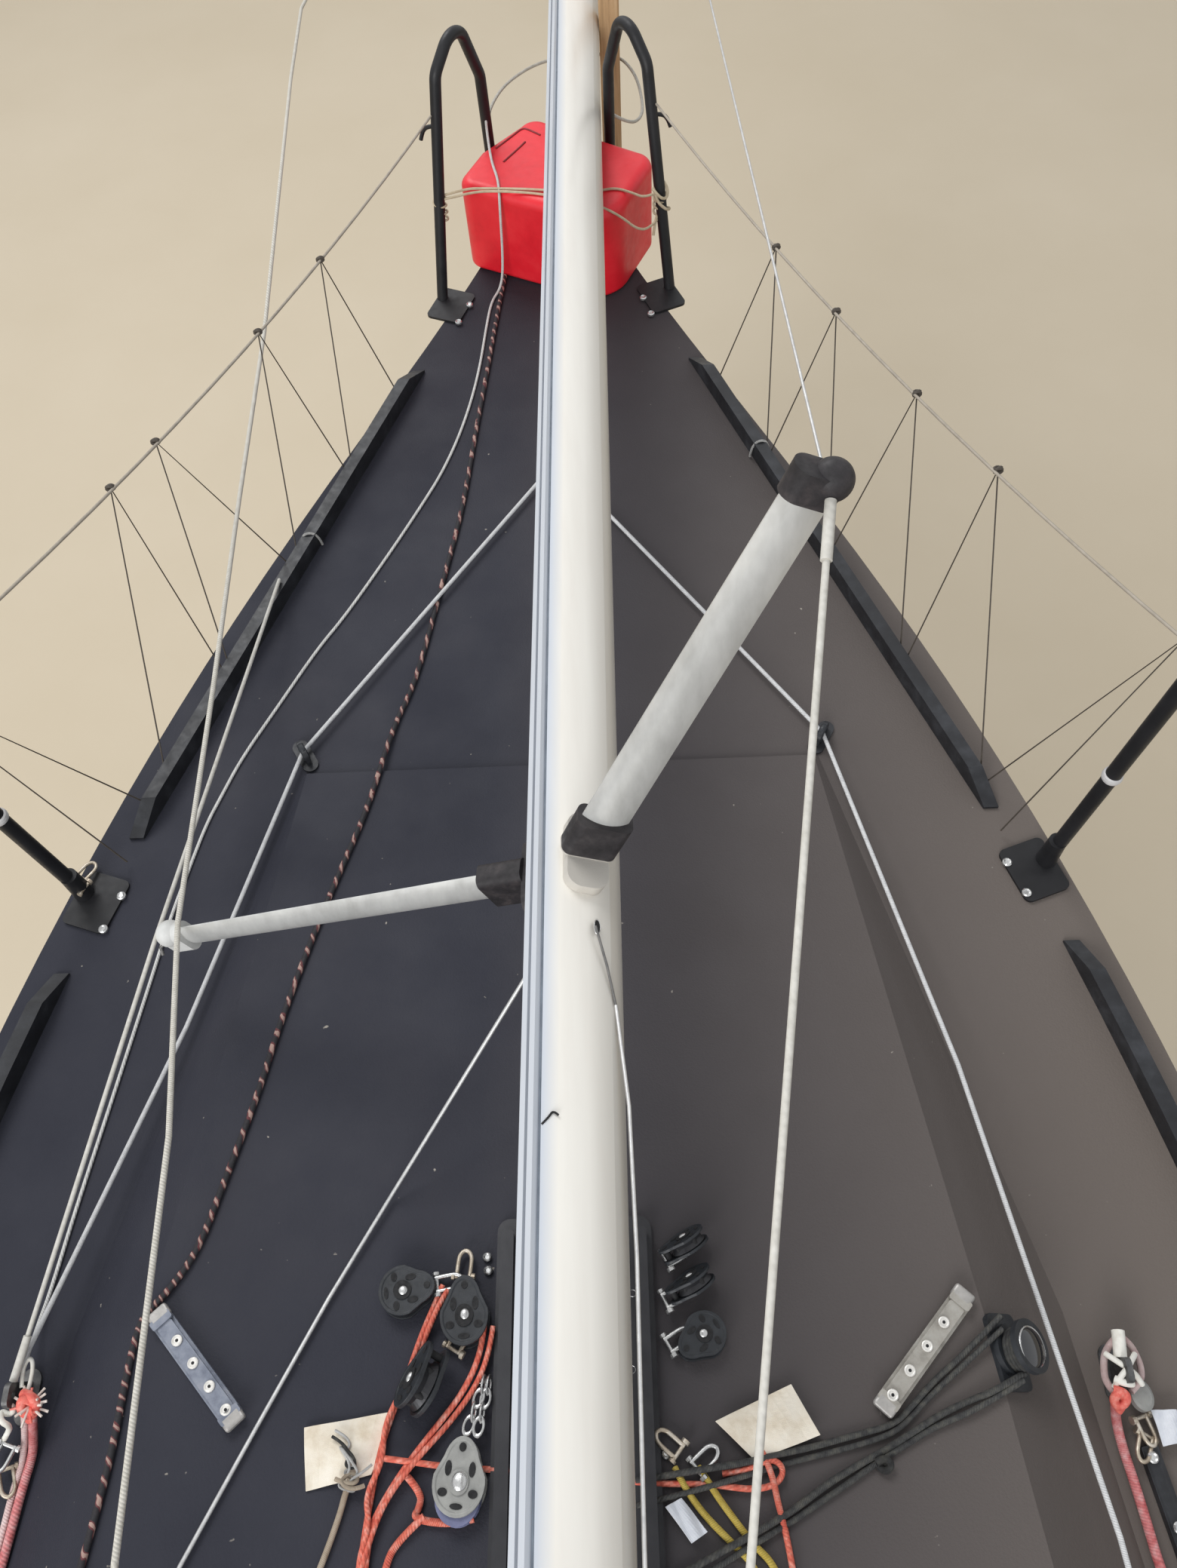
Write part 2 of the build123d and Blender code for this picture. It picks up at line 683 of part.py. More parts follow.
# Mast: a rounded extrusion with the sail track standing on its aft face
mast_way = Vector(mast_skew, 1, mast_slope).normalized()
mast_side = mast_way.cross(Vector(0, 0, 1)).normalized()
mast_up = mast_side.cross(mast_way)
roll = math.radians(mast_roll)
mast_aft = mast_side * math.cos(roll) + mast_up * math.sin(roll)
mast_foot = mast_point(mast_foot_y)
mast_plane = Plane(origin=mast_foot, x_dir=mast_aft, z_dir=mast_way)
track_proud = 9.0
with BuildPart() as mast:
    with BuildSketch(mast_plane):
        with BuildLine():
            tail = mast_chord / 2 - track_proud
            half = mast_width / 2
            nose_middle = half - mast_chord / 2
            CenterArc((nose_middle, 0), half, 90, 180)
            TangentArc((nose_middle, -half), (tail, -16), tangent=(1, 0))
            Line((tail, -16), (tail, 16))
            TangentArc((nose_middle, half), (tail, 16), tangent=(1, 0))
        make_face()
        with Locations((tail + track_proud / 2 - 1, 0)):
            Rectangle(track_proud + 2, 24)
        with Locations((tail + track_proud / 2, 0)):
            Rectangle(track_proud + 1, 5, mode=Mode.SUBTRACT)
        with Locations((tail - 4, 0)):
            Circle(6, mode=Mode.SUBTRACT)
    extrude(amount=mast_length)
mast.part.label = "mast"
export_step(mast.part, "parts/mast.step")

with BuildPart() as mast_heel:
    with BuildSketch(mast_plane):
        Ellipse(mast_chord / 2 - 5, mast_width / 2 - 3)
    extrude(amount=-12)
    with BuildSketch(mast_plane.offset(-12)):
        RectangleRounded(84, 52, 10)
    extrude(amount=-34)
    with BuildSketch(Plane(origin=mast_foot - mast_way * 30, x_dir=mast_aft, z_dir=mast_way.cross(mast_aft))):
        Circle(heel_pin_radius)
    extrude(amount=60, both=True, mode=Mode.SUBTRACT)
mast_heel.part.label = "mast_heel"
export_step(mast_heel.part, "parts/mast_heel.step")

head_plane = mast_plane.offset(mast_length)
with BuildPart() as masthead:
    with BuildSketch(head_plane):
        Ellipse(mast_chord / 2 - 3, mast_width / 2 - 2)
    extrude(amount=10)
    with BuildSketch(head_plane.offset(10)):
        with Locations((18, 0)):
            RectangleRounded(210, 50, 16)
    extrude(amount=36)
    with BuildSketch(Plane(origin=head_plane.origin + mast_way * 30, x_dir=mast_aft,
                           z_dir=mast_way.cross(mast_aft))):
        with Locations((108, 0), (-72, 0)):
            Circle(8)
    extrude(amount=34, both=True)
masthead.part.label = "masthead"
export_step(masthead.part, "parts/masthead.step")


def across_mast(angle):
    """Unit vector square to the mast at an angle from its starboard side."""
    turn = math.radians(angle)
    return mast_side * math.cos(turn) + mast_up * math.sin(turn)


# Spreaders, swept either side of the aft face, with their root fittings and tip boots
spreader_root = mast_point(spreader_y)
spreader_tips = {}
spreader_ways = {}
rake = math.radians(spreader_rake)
for name, angle in (("upper", mast_roll - spreader_sweep), ("lower", mast_roll + spreader_sweep)):
    out = across_mast(angle)
    blade_way = (out * math.cos(rake) + mast_way * math.sin(rake)).normalized()
    chord_way = mast_way.cross(out).normalized()
    seat = mast_width / 2 + 14

    def blade_plane(reach):
        return Plane(origin=spreader_root + blade_way * reach, x_dir=chord_way, z_dir=blade_way)

    with BuildPart() as bracket:
        with BuildSketch(Plane(origin=spreader_root + out * seat, x_dir=mast_way, z_dir=out)):
            RectangleRounded(110, 56, 20)
        extrude(amount=-26)
        with BuildSketch(blade_plane(seat - 2)):
            RectangleRounded(spreader_chord + 12, spreader_thickness + 14, 12)
        extrude(amount=66)
        add(mast.part, mode=Mode.SUBTRACT)
    root_reach = seat + 64
    bracket.part.label = f"spreader_bracket_{name}"
    export_step(bracket.part, f"parts/spreader_bracket_{name}.step")

    with BuildPart() as spreader:
        for reach, scale in ((root_reach, 1.0), (spreader_length - 34, 0.82)):
            chord = spreader_chord * scale / 2
            thick = spreader_thickness * scale / 2
            with BuildSketch(blade_plane(reach)):
                with BuildLine():
                    ThreePointArc((-chord, 1), (0, thick), (chord, 1))
                    Line((chord, 1), (chord, -1))
                    ThreePointArc((chord, -1), (0, -thick), (-chord, -1))
                    Line((-chord, -1), (-chord, 1))
                make_face()
        loft(ruled=True)
    spreader.part.label = f"spreader_{name}"
    export_step(spreader.part, f"parts/spreader_{name}.step")

    with BuildPart() as boot:
        with BuildSketch(blade_plane(spreader_length - 34)):
            SlotOverall(spreader_chord * 0.82 + 8, 34)
        extrude(amount=34)
        with Locations(blade_plane(spreader_length - 8)):
            with Locations((14, 0)):
                Sphere(tip_radius)
    spreader_tips[name] = blade_plane(spreader_length - 8).origin + chord_way * 14
    spreader_ways[name] = blade_way
    boot.part.label = f"spreader_boot_{name}"
    export_step(boot.part, f"parts/spreader_boot_{name}.step")

# Red plastic can that carries the mast at the bow, on its side
mast_underside = (mast_width / 2 + (mast_chord - mast_width) / 2 * abs(math.sin(roll))) / mast_up.Z
can_height = mast_point(can_y + can_bearing).Z - deck_z - mast_underside - fit_gap
with BuildPart() as jerrycan:
    can_angle = math.radians(can_turn)
    can_plane = Plane(origin=(can_x, can_y, deck_z), x_dir=(math.cos(can_angle), math.sin(can_angle), 0),
                      z_dir=(0, 0, 1))
    with BuildSketch(can_plane):
        with BuildLine():
            # Side profile of the can: base to starboard, handle and neck to port
            Line((can_fore - 46, can_back), (can_neck, can_back + 26))
            ThreePointArc((can_neck, can_back + 26), (can_neck - 32, can_back + 18), (can_neck - 48, can_back - 12))
            Line((can_neck - 48, can_back - 12), (can_aft, 8))
            Line((can_aft, 8), (can_aft, can_front + 36))
            ThreePointArc((can_aft, can_front + 36), (can_aft + 11, can_front + 11), (can_aft + 36, can_front))
            Line((can_aft + 36, can_front), (can_fore - 84, can_front))
            ThreePointArc((can_fore - 84, can_front), (can_fore - 25, can_front + 25), (can_fore, can_front + 84))
            Line((can_fore, can_front + 84), (can_fore, can_back - 46))
            ThreePointArc((can_fore, can_back - 46), (can_fore - 13, can_back - 13), (can_fore - 46, can_back))
        make_face()
    extrude(amount=can_height)
    fillet(jerrycan.faces().sort_by(Axis.Z)[-1].edges(), radius=22)
    fillet(jerrycan.faces().sort_by(Axis.Z)[0].edges(), radius=12)
jerrycan.part.label = "jerrycan"
export_step(jerrycan.part, "parts/jerrycan.step")

# Timber prop beside the mast ahead of the stem, standing on the ground
prop_y = bow_y + 60.0
prop_width = 50.0
prop_depth = 70.0
mast_half_seen = mast_width / 2 + (mast_chord - mast_width) / 2 * abs(math.cos(roll))
with BuildPart() as mast_prop:
    prop_x = mast_point(prop_y).X + mast_half_seen + prop_width / 2 + fit_gap
    with BuildSketch():
        with Locations((prop_x, prop_y)):
            Rectangle(prop_width, prop_depth)
    extrude(amount=deck_z + 430)
    chamfer(mast_prop.edges().filter_by(Axis.Z), length=4)
mast_prop.part.label = "mast_prop"
export_step(mast_prop.part, "parts/mast_prop.step")

# Timber beam across the pushpit rails with the chock that carries the mast aft
crutch_y = pushpit_aft_y + 240
crutch_depth = 60.0
crutch_width = 95.0
crutch_span = 2 * (half_beam(crutch_y) - pushpit_inset) + 60
crutch_base = deck_z + pushpit_height + tube_diameter / 2 + fit_gap
with BuildPart() as mast_crutch:
    with BuildSketch(Plane.XY.offset(crutch_base)):
        with Locations((0, crutch_y)):
            Rectangle(crutch_span, crutch_width)
    extrude(amount=crutch_depth)
    mast_here = mast_point(crutch_y)
    with BuildSketch(Plane.XY.offset(crutch_base + crutch_depth)):
        with Locations((mast_here.X, crutch_y)):
            Rectangle(230, 70)
    extrude(amount=mast_here.Z - crutch_base - crutch_depth - 10)
    add(mast.part, mode=Mode.SUBTRACT)
mast_crutch.part.label = "mast_crutch"
export_step(mast_crutch.part, "parts/mast_crutch.step")

# Main stays: the port shroud runs from its chainplate round the lower spreader to the toe rail,
# and the starboard one from the upper spreader down to the mast, and then along it
shroud_rise = shroud_diameter / 2 + fit_gap
ferrule_radius = shroud_diameter * 0.8
ferrule_length = 60.0
shroud_end_y = 1800.0
shroud_down_y = -600.0
shroud_stop_y = -1150.0
beside_mast = across_mast(mast_roll - 90) * (mast_width / 2 + shroud_rise)
down_point = mast_point(shroud_down_y) + beside_mast
away = (down_point - spreader_tips["upper"]).normalized()
shroud_routes = {
    "shroud_port": [
        Vector(-chain_x, chain_y + 18, deck_z + lug_top - eye_drop),
        spreader_tips["lower"] + spreader_ways["lower"] * (tip_radius + shroud_rise + 1.5),
        Vector(rail_inset - half_beam(shroud_end_y), shroud_end_y, deck_z + rail_height + shroud_rise + 2),
    ],
    "shroud_starboard": [
        spreader_tips["upper"] + away * (tip_radius + fit_gap),
        down_point,
        mast_point(shroud_stop_y) + beside_mast,
    ],
}
for name, stops in shroud_routes.items():
    with BuildPart() as shroud:
        with BuildLine() as route:
            FilletPolyline(*stops, radius=40)
        with BuildSketch(rod_plane(stops[0], stops[1])):
            Circle(shroud_diameter / 2)
        sweep(path=route.line)
        with BuildSketch(rod_plane(stops[0], stops[1])):
            Circle(ferrule_radius)
        extrude(amount=ferrule_length)
    shroud.part.label = name
    export_step(shroud.part, f"parts/{name}.step")

# Rudder: gudgeons on the transom, blade, cheeks of the head, tiller and its extension
axis_y = transom_y - rudder_axis_gap
lug_thickness = 16.0
arm_thickness = 12.0
pintle_radius = 6.0
gudgeon_rows = (deck_z - cockpit_depth - 70, deck_z - cockpit_depth - 270)
with BuildPart() as gudgeons:
    for z in gudgeon_rows:
        with BuildSketch(Plane.XY.offset(z)):
            with BuildLine():
                Polyline((-28, transom_y), (28, transom_y), (17, axis_y), (-17, axis_y), close=True)
            make_face()
            with Locations((0, axis_y)):
                Circle(17)
                Circle(pintle_radius + 2 * fit_gap, mode=Mode.SUBTRACT)
        extrude(amount=lug_thickness)
gudgeons.part.label = "rudder_gudgeons"
export_step(gudgeons.part, "parts/rudder_gudgeons.step")

blade_front_y = axis_y - 30
stock_width = rudder_thickness - 8
stock_depth = 190.0
cheek_foot_z = gudgeon_rows[1] - 60
with BuildPart() as rudder_blade:
    add(foil_section(cheek_foot_z, blade_front_y, rudder_chord, rudder_thickness))
    add(foil_section(rudder_tip_z, blade_front_y - 40, rudder_chord * 0.62, rudder_thickness * 0.55))
    loft(ruled=True)
    with BuildSketch(Plane.XY.offset(cheek_foot_z)):
        with Locations((0, blade_front_y - stock_depth / 2 - 12)):
            RectangleRounded(stock_width, stock_depth, 12)
    extrude(amount=rudder_head_z - cheek_foot_z)
rudder_blade.part.label = "rudder_blade"
export_step(rudder_blade.part, "parts/rudder_blade.step")

cheek = 8.0
head_top_z = rudder_head_z + 54
cheek_aft_y = blade_front_y - stock_depth - 24
with BuildPart() as rudder_head:
    for side in (-1, 1):
        with BuildSketch(Plane.YZ.offset(side * (stock_width / 2 + fit_gap))):
            with BuildLine():
                FilletPolyline((blade_front_y + 10, cheek_foot_z + 4), (cheek_aft_y, cheek_foot_z + 4),
                               (cheek_aft_y, rudder_head_z - 160), (cheek_aft_y + 70, head_top_z),
                               (blade_front_y + 10, head_top_z), close=True, radius=24)
            make_face()
        extrude(amount=side * cheek)
    for z in gudgeon_rows:
        with BuildSketch(Plane.XY.offset(z + lug_thickness + fit_gap)):
            with Locations((0, axis_y)):
                Circle(15)
            with Locations((0, axis_y - 24)):
                Rectangle(30, 48)
            with Locations((0, blade_front_y - 1)):
                Rectangle(stock_width + 2 * cheek + 2 * fit_gap, 22)
        extrude(amount=arm_thickness)
        with BuildSketch(Plane.XY.offset(z - 6)):
            with Locations((0, axis_y)):
                Circle(pintle_radius)
        extrude(amount=lug_thickness + 10)
    add(rudder_blade.part, mode=Mode.SUBTRACT)
rudder_head.part.label = "rudder_head"
export_step(rudder_head.part, "parts/rudder_head.step")

tiller_rise = 170.0
tiller_start = Vector(0, cheek_aft_y + 40, rudder_head_z + 22)
tiller_end = Vector(0, axis_y + tiller_length, rudder_head_z + tiller_rise)
tiller_root = Plane(origin=tiller_start, x_dir=(1, 0, 0), z_dir=tiller_end - tiller_start)
tiller_run = (tiller_end - tiller_start).length
with BuildPart() as tiller:
    with BuildSketch(tiller_root):
        RectangleRounded(stock_width - 2 * fit_gap, 44, 10)
    with BuildSketch(tiller_root.offset(tiller_run)):
        RectangleRounded(28, 28, 10)
    loft(ruled=True)
    split(bisect_by=Plane.XY.offset(rudder_head_z), keep=Keep.TOP)
tiller.part.label = "tiller"
export_step(tiller.part, "parts/tiller.step")

with BuildPart() as tiller_extension:
    way = (tiller_end - tiller_start).normalized()
    rest = tiller_end + Vector(0, 0, 27) - way * 860
    with BuildSketch(Plane(origin=rest, x_dir=(1, 0, 0), z_dir=way)):
        Circle(9)
    extrude(amount=900)
    with BuildSketch(Plane(origin=rest + way * 820, x_dir=(1, 0, 0), z_dir=(0, 0, 1))):
        Circle(11)
    extrude(amount=-20)
    add(tiller.part, mode=Mode.SUBTRACT)
tiller_extension.part.label = "tiller_extension"
export_step(tiller_extension.part, "parts/tiller_extension.step")

# Mainsheet traveller across the cockpit
traveller_y = -2500.0
with BuildPart() as traveller:
    with BuildSketch(Plane.XY.offset(deck_z)):
        with Locations((0, traveller_y)):
            Rectangle(2 * cockpit_half + 160, 56)
    extrude(amount=30)
    with BuildSketch(Plane.XY.offset(deck_z + 30)):
        with Locations((0, traveller_y)):
            Rectangle(2 * cockpit_half + 60, 26)
    extrude(amount=12)
    with BuildSketch(Plane.XY.offset(deck_z + 42)):
        with Locations((60, traveller_y)):
            RectangleRounded(120, 52, 14)
    extrude(amount=24)
traveller.part.label = "mainsheet_traveller"
export_step(traveller.part, "parts/mainsheet_traveller.step")

# Winches on the coachroof's aft corners
for side, name in ((-1, "winch_port"), (1, "winch_starboard")):
    seat = roof_plane(side * 480, -640)
    with BuildPart() as winch:
        with BuildSketch(Plane(origin=seat.origin, x_dir=seat.x_dir, z_dir=seat.x_dir.cross(seat.z_dir))):
            with BuildLine():
                Polyline((0, 0), (58, 0), (58, 14), (44, 22))
                ThreePointArc((44, 22), (37, 46), (44, 72))
                Polyline((44, 72), (50, 80), (50, 94), (20, 100), (0, 100), (0, 0))
            make_face()
        revolve(axis=Axis(seat.origin, seat.z_dir))
    winch.part.label = name
    export_step(winch.part, f"parts/{name}.step")


def arm_x(end):
    """Distance of a cradle arm from the middle line, just outboard of the bilge."""
    return bilge_point(end * cradle_arm_y)[0] + arm_outreach


# Cradle: base frame, keel timber, four arms and their pads
with BuildPart() as cradle_base:
    with BuildSketch():
        for side in (-1, 1):
            with Locations((side * 420, 0)):
                Rectangle(beam_width, 2 * cradle_half_length)
        with GridLocations(1, cradle_arm_y, 1, 3):
            Rectangle(2 * cradle_half_width, beam_width)
    extrude(amount=beam_height)
    with BuildSketch(Plane.XY.offset(beam_height)):
        for side in (-1, 1):
            for end in (-1, 1):
                with Locations((side * arm_x(end), end * cradle_arm_y)):
                    Rectangle(130, 130)
    extrude(amount=10)
cradle_base.part.label = "cradle_base"
export_step(cradle_base.part, "parts/cradle_base.step")

with BuildPart() as keel_timber:
    with BuildSketch(Plane.XY.offset(beam_height)):
        with Locations((0, 0)):
            Rectangle(300, 2 * cradle_arm_y + 200)
    extrude(amount=keel_rest_z - beam_height)
keel_timber.part.label = "keel_timber"
export_step(keel_timber.part, "parts/keel_timber.step")

# The pads bear under the bilge, facing up and inboard, each on its screw and post
pad_thickness = 60.0
pad_lean = 0.55
screw_length = 250.0
cradle_corners = []
for side in (-1, 1):
    for end in (-1, 1):
        facing = Vector(-side * pad_lean, 0, 1).normalized()
        bilge_x, bilge_z = bilge_point(end * cradle_arm_y)
        seat = Vector(side * (bilge_x - 60), end * cradle_arm_y, bilge_z - 50)
        cradle_corners.append((side, end, facing, seat - facing * pad_thickness))

with BuildPart() as cradle_pads:
    for side, end, facing, back in cradle_corners:
        with BuildSketch(Plane(origin=back, x_dir=(0, 1, 0), z_dir=facing)):
            RectangleRounded(pad_size * 1.3, pad_size, 20)
        extrude(amount=pad_thickness + 60)
    add(canoe.part, mode=Mode.SUBTRACT)
cradle_pads.part.label = "cradle_pads"
export_step(cradle_pads.part, "parts/cradle_pads.step")

with BuildPart() as cradle_arms:
    for side, end, facing, back in cradle_corners:
        foot = back - facing * screw_length
        with BuildSketch(Plane.XY.offset(beam_height + 10)):
            with Locations((side * arm_x(end), end * cradle_arm_y)):
                Rectangle(arm_size, arm_size)
        extrude(amount=foot.Z + 30 - beam_height - 10)
        leaned = Plane(origin=foot, x_dir=(0, 1, 0), z_dir=facing)
        with BuildSketch(leaned):
            Circle(18)
        extrude(amount=screw_length)
        with BuildSketch(leaned.offset(screw_length - 8)):
            RectangleRounded(200, 150, 12)
        extrude(amount=8)
        with BuildSketch(leaned.offset(20)):
            Rectangle(arm_size - 6, arm_size + 90)
        extrude(amount=34)
cradle_arms.part.label = "cradle_arms"
export_step(cradle_arms.part, "parts/cradle_arms.step")
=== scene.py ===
# %% [markdown]
# # A sportboat ashore, with her mast lowered
#
# The boat stands on a steel cradle with the mast lying along the deck, and the camera looks
# down on the foredeck from above the cockpit. The hull, the mast and the fittings come in as
# solid parts of fixed size. What is left for Blender is the rigging and the paint: the ropes,
# wires, blocks and screws, and a finish for every surface.

# %% Load the boat
import json
import math

import bpy
from mathutils import Matrix, Vector

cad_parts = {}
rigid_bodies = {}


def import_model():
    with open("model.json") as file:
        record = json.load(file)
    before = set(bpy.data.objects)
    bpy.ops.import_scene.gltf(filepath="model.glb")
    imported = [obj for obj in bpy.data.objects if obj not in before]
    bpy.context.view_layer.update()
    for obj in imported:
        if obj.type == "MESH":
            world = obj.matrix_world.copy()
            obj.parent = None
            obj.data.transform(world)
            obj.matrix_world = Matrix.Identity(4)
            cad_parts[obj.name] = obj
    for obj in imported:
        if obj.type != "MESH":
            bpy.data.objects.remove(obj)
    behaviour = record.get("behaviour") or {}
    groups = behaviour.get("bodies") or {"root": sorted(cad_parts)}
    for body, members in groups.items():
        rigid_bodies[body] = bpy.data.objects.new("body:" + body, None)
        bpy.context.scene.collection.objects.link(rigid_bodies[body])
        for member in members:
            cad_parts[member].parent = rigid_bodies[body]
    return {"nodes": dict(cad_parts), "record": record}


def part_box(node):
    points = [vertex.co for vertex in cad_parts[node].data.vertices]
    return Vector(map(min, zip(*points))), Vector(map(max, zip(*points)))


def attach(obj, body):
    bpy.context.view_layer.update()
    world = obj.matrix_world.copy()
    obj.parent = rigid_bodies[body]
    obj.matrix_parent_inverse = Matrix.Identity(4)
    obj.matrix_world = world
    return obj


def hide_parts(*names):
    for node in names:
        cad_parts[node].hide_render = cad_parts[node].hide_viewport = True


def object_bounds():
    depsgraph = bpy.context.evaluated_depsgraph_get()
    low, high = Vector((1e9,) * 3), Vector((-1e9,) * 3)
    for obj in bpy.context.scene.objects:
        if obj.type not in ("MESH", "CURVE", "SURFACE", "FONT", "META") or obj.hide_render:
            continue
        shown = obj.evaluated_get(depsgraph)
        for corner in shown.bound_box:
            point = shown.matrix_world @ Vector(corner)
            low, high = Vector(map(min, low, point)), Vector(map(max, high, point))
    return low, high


bpy.ops.object.select_all(action="SELECT")
bpy.ops.object.delete()
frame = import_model()
solid_low, solid_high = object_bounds()
solid_reach = [round(b - a, 2) for a, b in zip(solid_low, solid_high)]
print("solid parts:", len(frame["nodes"]), "reach", solid_reach)

# %% [markdown]
# ## Heights on the boat
#
# Everything on deck is measured from the deck's surface. The coachroof is a low wedge: at its
# front it is 8 mm high, and it rises 118 mm for each metre towards the stern, with bevelled
# sides. One function gives the height of whatever lies below a spot, so a rope laid on it
# neither sinks in nor floats. The lists of stops along the ropes are written in millimetres,
# which keeps them short, and are turned into metres before anything is made.

# %% Heights of the deck and the coachroof
deck_height = 2.370
roof_front, roof_edge, roof_rise = 1.370, 0.008, 0.118
roof_rows = [(1.370, 0.466, 0.476), (0.430, 0.576, 0.720), (-0.900, 0.690, 0.900)]
contact_gap = 0.0005


def roof_half(y, column):
    """Half breadth of the coachroof at y: column 1 at its top, column 2 at the deck."""
    for fore, aft in zip(roof_rows, roof_rows[1:]):
        if aft[0] <= y <= fore[0]:
            share = (fore[0] - y) / (fore[0] - aft[0])
            return fore[column] + (aft[column] - fore[column]) * share
    return roof_rows[-1][column]


def surface_height(x, y):
    """Height above the deck of what lies under a spot: the coachroof, its bevel or the deck."""
    if y > roof_front:
        return 0.0
    top, foot, height = roof_half(y, 1), roof_half(y, 2), roof_edge + roof_rise * (roof_front - y)
    if abs(x) <= top:
        return height
    return max(0.0, height * (foot - abs(x)) / (foot - top))


def above(x, y, z):
    """A point at a height above the deck."""
    return Vector((x, y, deck_height + z))


def metres(stops):
    """Places that were written down in millimetres, in metres."""
    return [tuple(number / 1000 for number in stop) for stop in stops]


def above_all(stops):
    """Points above the deck, from places in millimetres."""
    return [above(*stop) for stop in metres(stops)]


def resting(spots, thickness):
    """Points of a rope that lies on the boat, from its places seen from above."""
    return [above(x, y, surface_height(x, y) + thickness / 2 + contact_gap) for x, y in spots]


print("roof at the mast foot:", round(surface_height(0, 0.3), 3), "m above the deck")

# %% [markdown]
# ## Picking things up and putting them down
#
# Blender's tools act on all that is selected, and the parts that were just loaded still are. So
# each step starts by letting go of everything. A finished piece is laid in its place with its
# own y axis along one direction and its z axis along another, the move is applied to its mesh,
# and then it is tied to the boat.

# %% Selecting, placing and tying
def clear_selection():
    """Leaves edit mode and lets go of everything."""
    if bpy.context.object and bpy.context.object.mode != "OBJECT":
        bpy.ops.object.mode_set(mode="OBJECT")
    bpy.ops.object.select_all(action="DESELECT")


def hold(piece):
    """Selects one piece alone and makes it the active one."""
    clear_selection()
    piece.select_set(True)
    bpy.context.view_layer.objects.active = piece


def fresh(add, **size):
    """A primitive from one of Blender's tools, made while nothing else is selected."""
    clear_selection()
    add(**size)
    return bpy.context.object


def ring(major, minor, around, across):
    """A torus that lies flat, from its two radii and the number of steps round each."""
    return fresh(bpy.ops.mesh.primitive_torus_add, major_radius=major, minor_radius=minor,
                 major_segments=around, minor_segments=across)


def rod(sides, radius, depth, spot=(0, 0, 0)):
    """An upright cylinder with its middle at a spot."""
    return fresh(bpy.ops.mesh.primitive_cylinder_add, vertices=sides, radius=radius, depth=depth,
                 location=spot)


def resized(piece, scale):
    """Scales the mesh of the piece that was just made."""
    bpy.ops.object.mode_set(mode="EDIT")
    bpy.ops.transform.resize(value=scale)
    bpy.ops.object.mode_set(mode="OBJECT")
    return piece


def softened(piece, width, segments=2):
    """Rounds the sharp edges of the active piece with a bevel that is applied at once."""
    edge = piece.modifiers.new("soften", "BEVEL")
    edge.width, edge.segments = width, segments
    bpy.ops.object.modifier_apply(modifier="soften")
    return piece


def laid(spot, along=(0, 1, 0), up=(0, 0, 1), scale=(1, 1, 1)):
    """The place of a piece whose own z points up and whose own y points along."""
    z = Vector(up).normalized()
    y = Vector(along)
    y = (y - z * y.dot(z)).normalized()
    turn = Matrix((y.cross(z), y, z)).transposed().to_4x4()
    return Matrix.Translation(spot) @ turn @ Matrix.Diagonal((*scale, 1))


def settle(piece, place=None):
    """Applies a piece's place to its mesh and lets it ride on the boat."""
    if place is not None:
        piece.matrix_world = place
    hold(piece)
    bpy.ops.object.transform_apply(location=True, rotation=True, scale=True)
    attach(piece, "boat")
    return piece


def copy_to(piece, name, place):
    """A copy with a mesh of its own, settled in its place."""
    twin = piece.copy()
    twin.data = piece.data.copy()
    twin.name = name
    bpy.context.scene.collection.objects.link(twin)
    return settle(twin, place)


def spread(piece, name, places):
    """Copies of a pattern piece in all its places; the pattern itself is then put away."""
    for number, place in enumerate(places, 1):
        copy_to(piece, f"{name}_{number}", place)
    bpy.data.objects.remove(piece)
    print(name, "x", len(places))


# %% [markdown]
# ## The camera
#
# The camera stands high over the cockpit and looks forward and down over the coachroof. Its
# place and turn were worked out from the boat's own lines: where the rails meet, where the mast
# lies, and how far the stanchions lean. The picture is taller than it is wide, so the lens is
# measured against its height.

# %% Place the camera
bpy.ops.object.camera_add()
camera = bpy.context.object
camera.name = "camera"
camera_spot = (0.117856936, 0.26, 4.27)
sight_right = Vector((0.998869171, -0.018042396, -0.0439869383))
sight_down = Vector((-0.0372945507, -0.871169925, -0.489563151))
sight_forward = Vector((-0.0294872055, 0.490650012, -0.870857664))
camera.matrix_world = Matrix.Translation(camera_spot) @ Matrix(
    (sight_right, -sight_down, -sight_forward)).transposed().to_4x4()
focal_to_height = 1524.625 / 2000
camera.data.sensor_fit = "VERTICAL"
camera.data.sensor_height = 36.0
camera.data.lens = focal_to_height * 36.0
camera.data.clip_start = 0.02
camera.data.clip_end = 300.0
bpy.context.scene.camera = camera
print("lens", round(camera.data.lens, 2), "mm")

# %% [markdown]
# ## Two slack ropes
#
# Most lines on this boat are stretched tight, but two lie loose on the deck: a flecked halyard
# that comes from under the can, and a white rope that is tied to the pulpit, falls over the
# can and wanders aft to the chainplate. A rope is a curve: a few control points, a smooth
# NURBS line through their middle, and a round bevel for its thickness. The order of the curve
# is set after its points, because set before it would fall back to straight runs.

# %% A helper for ropes, and the two slack ones
middle_lines = {}


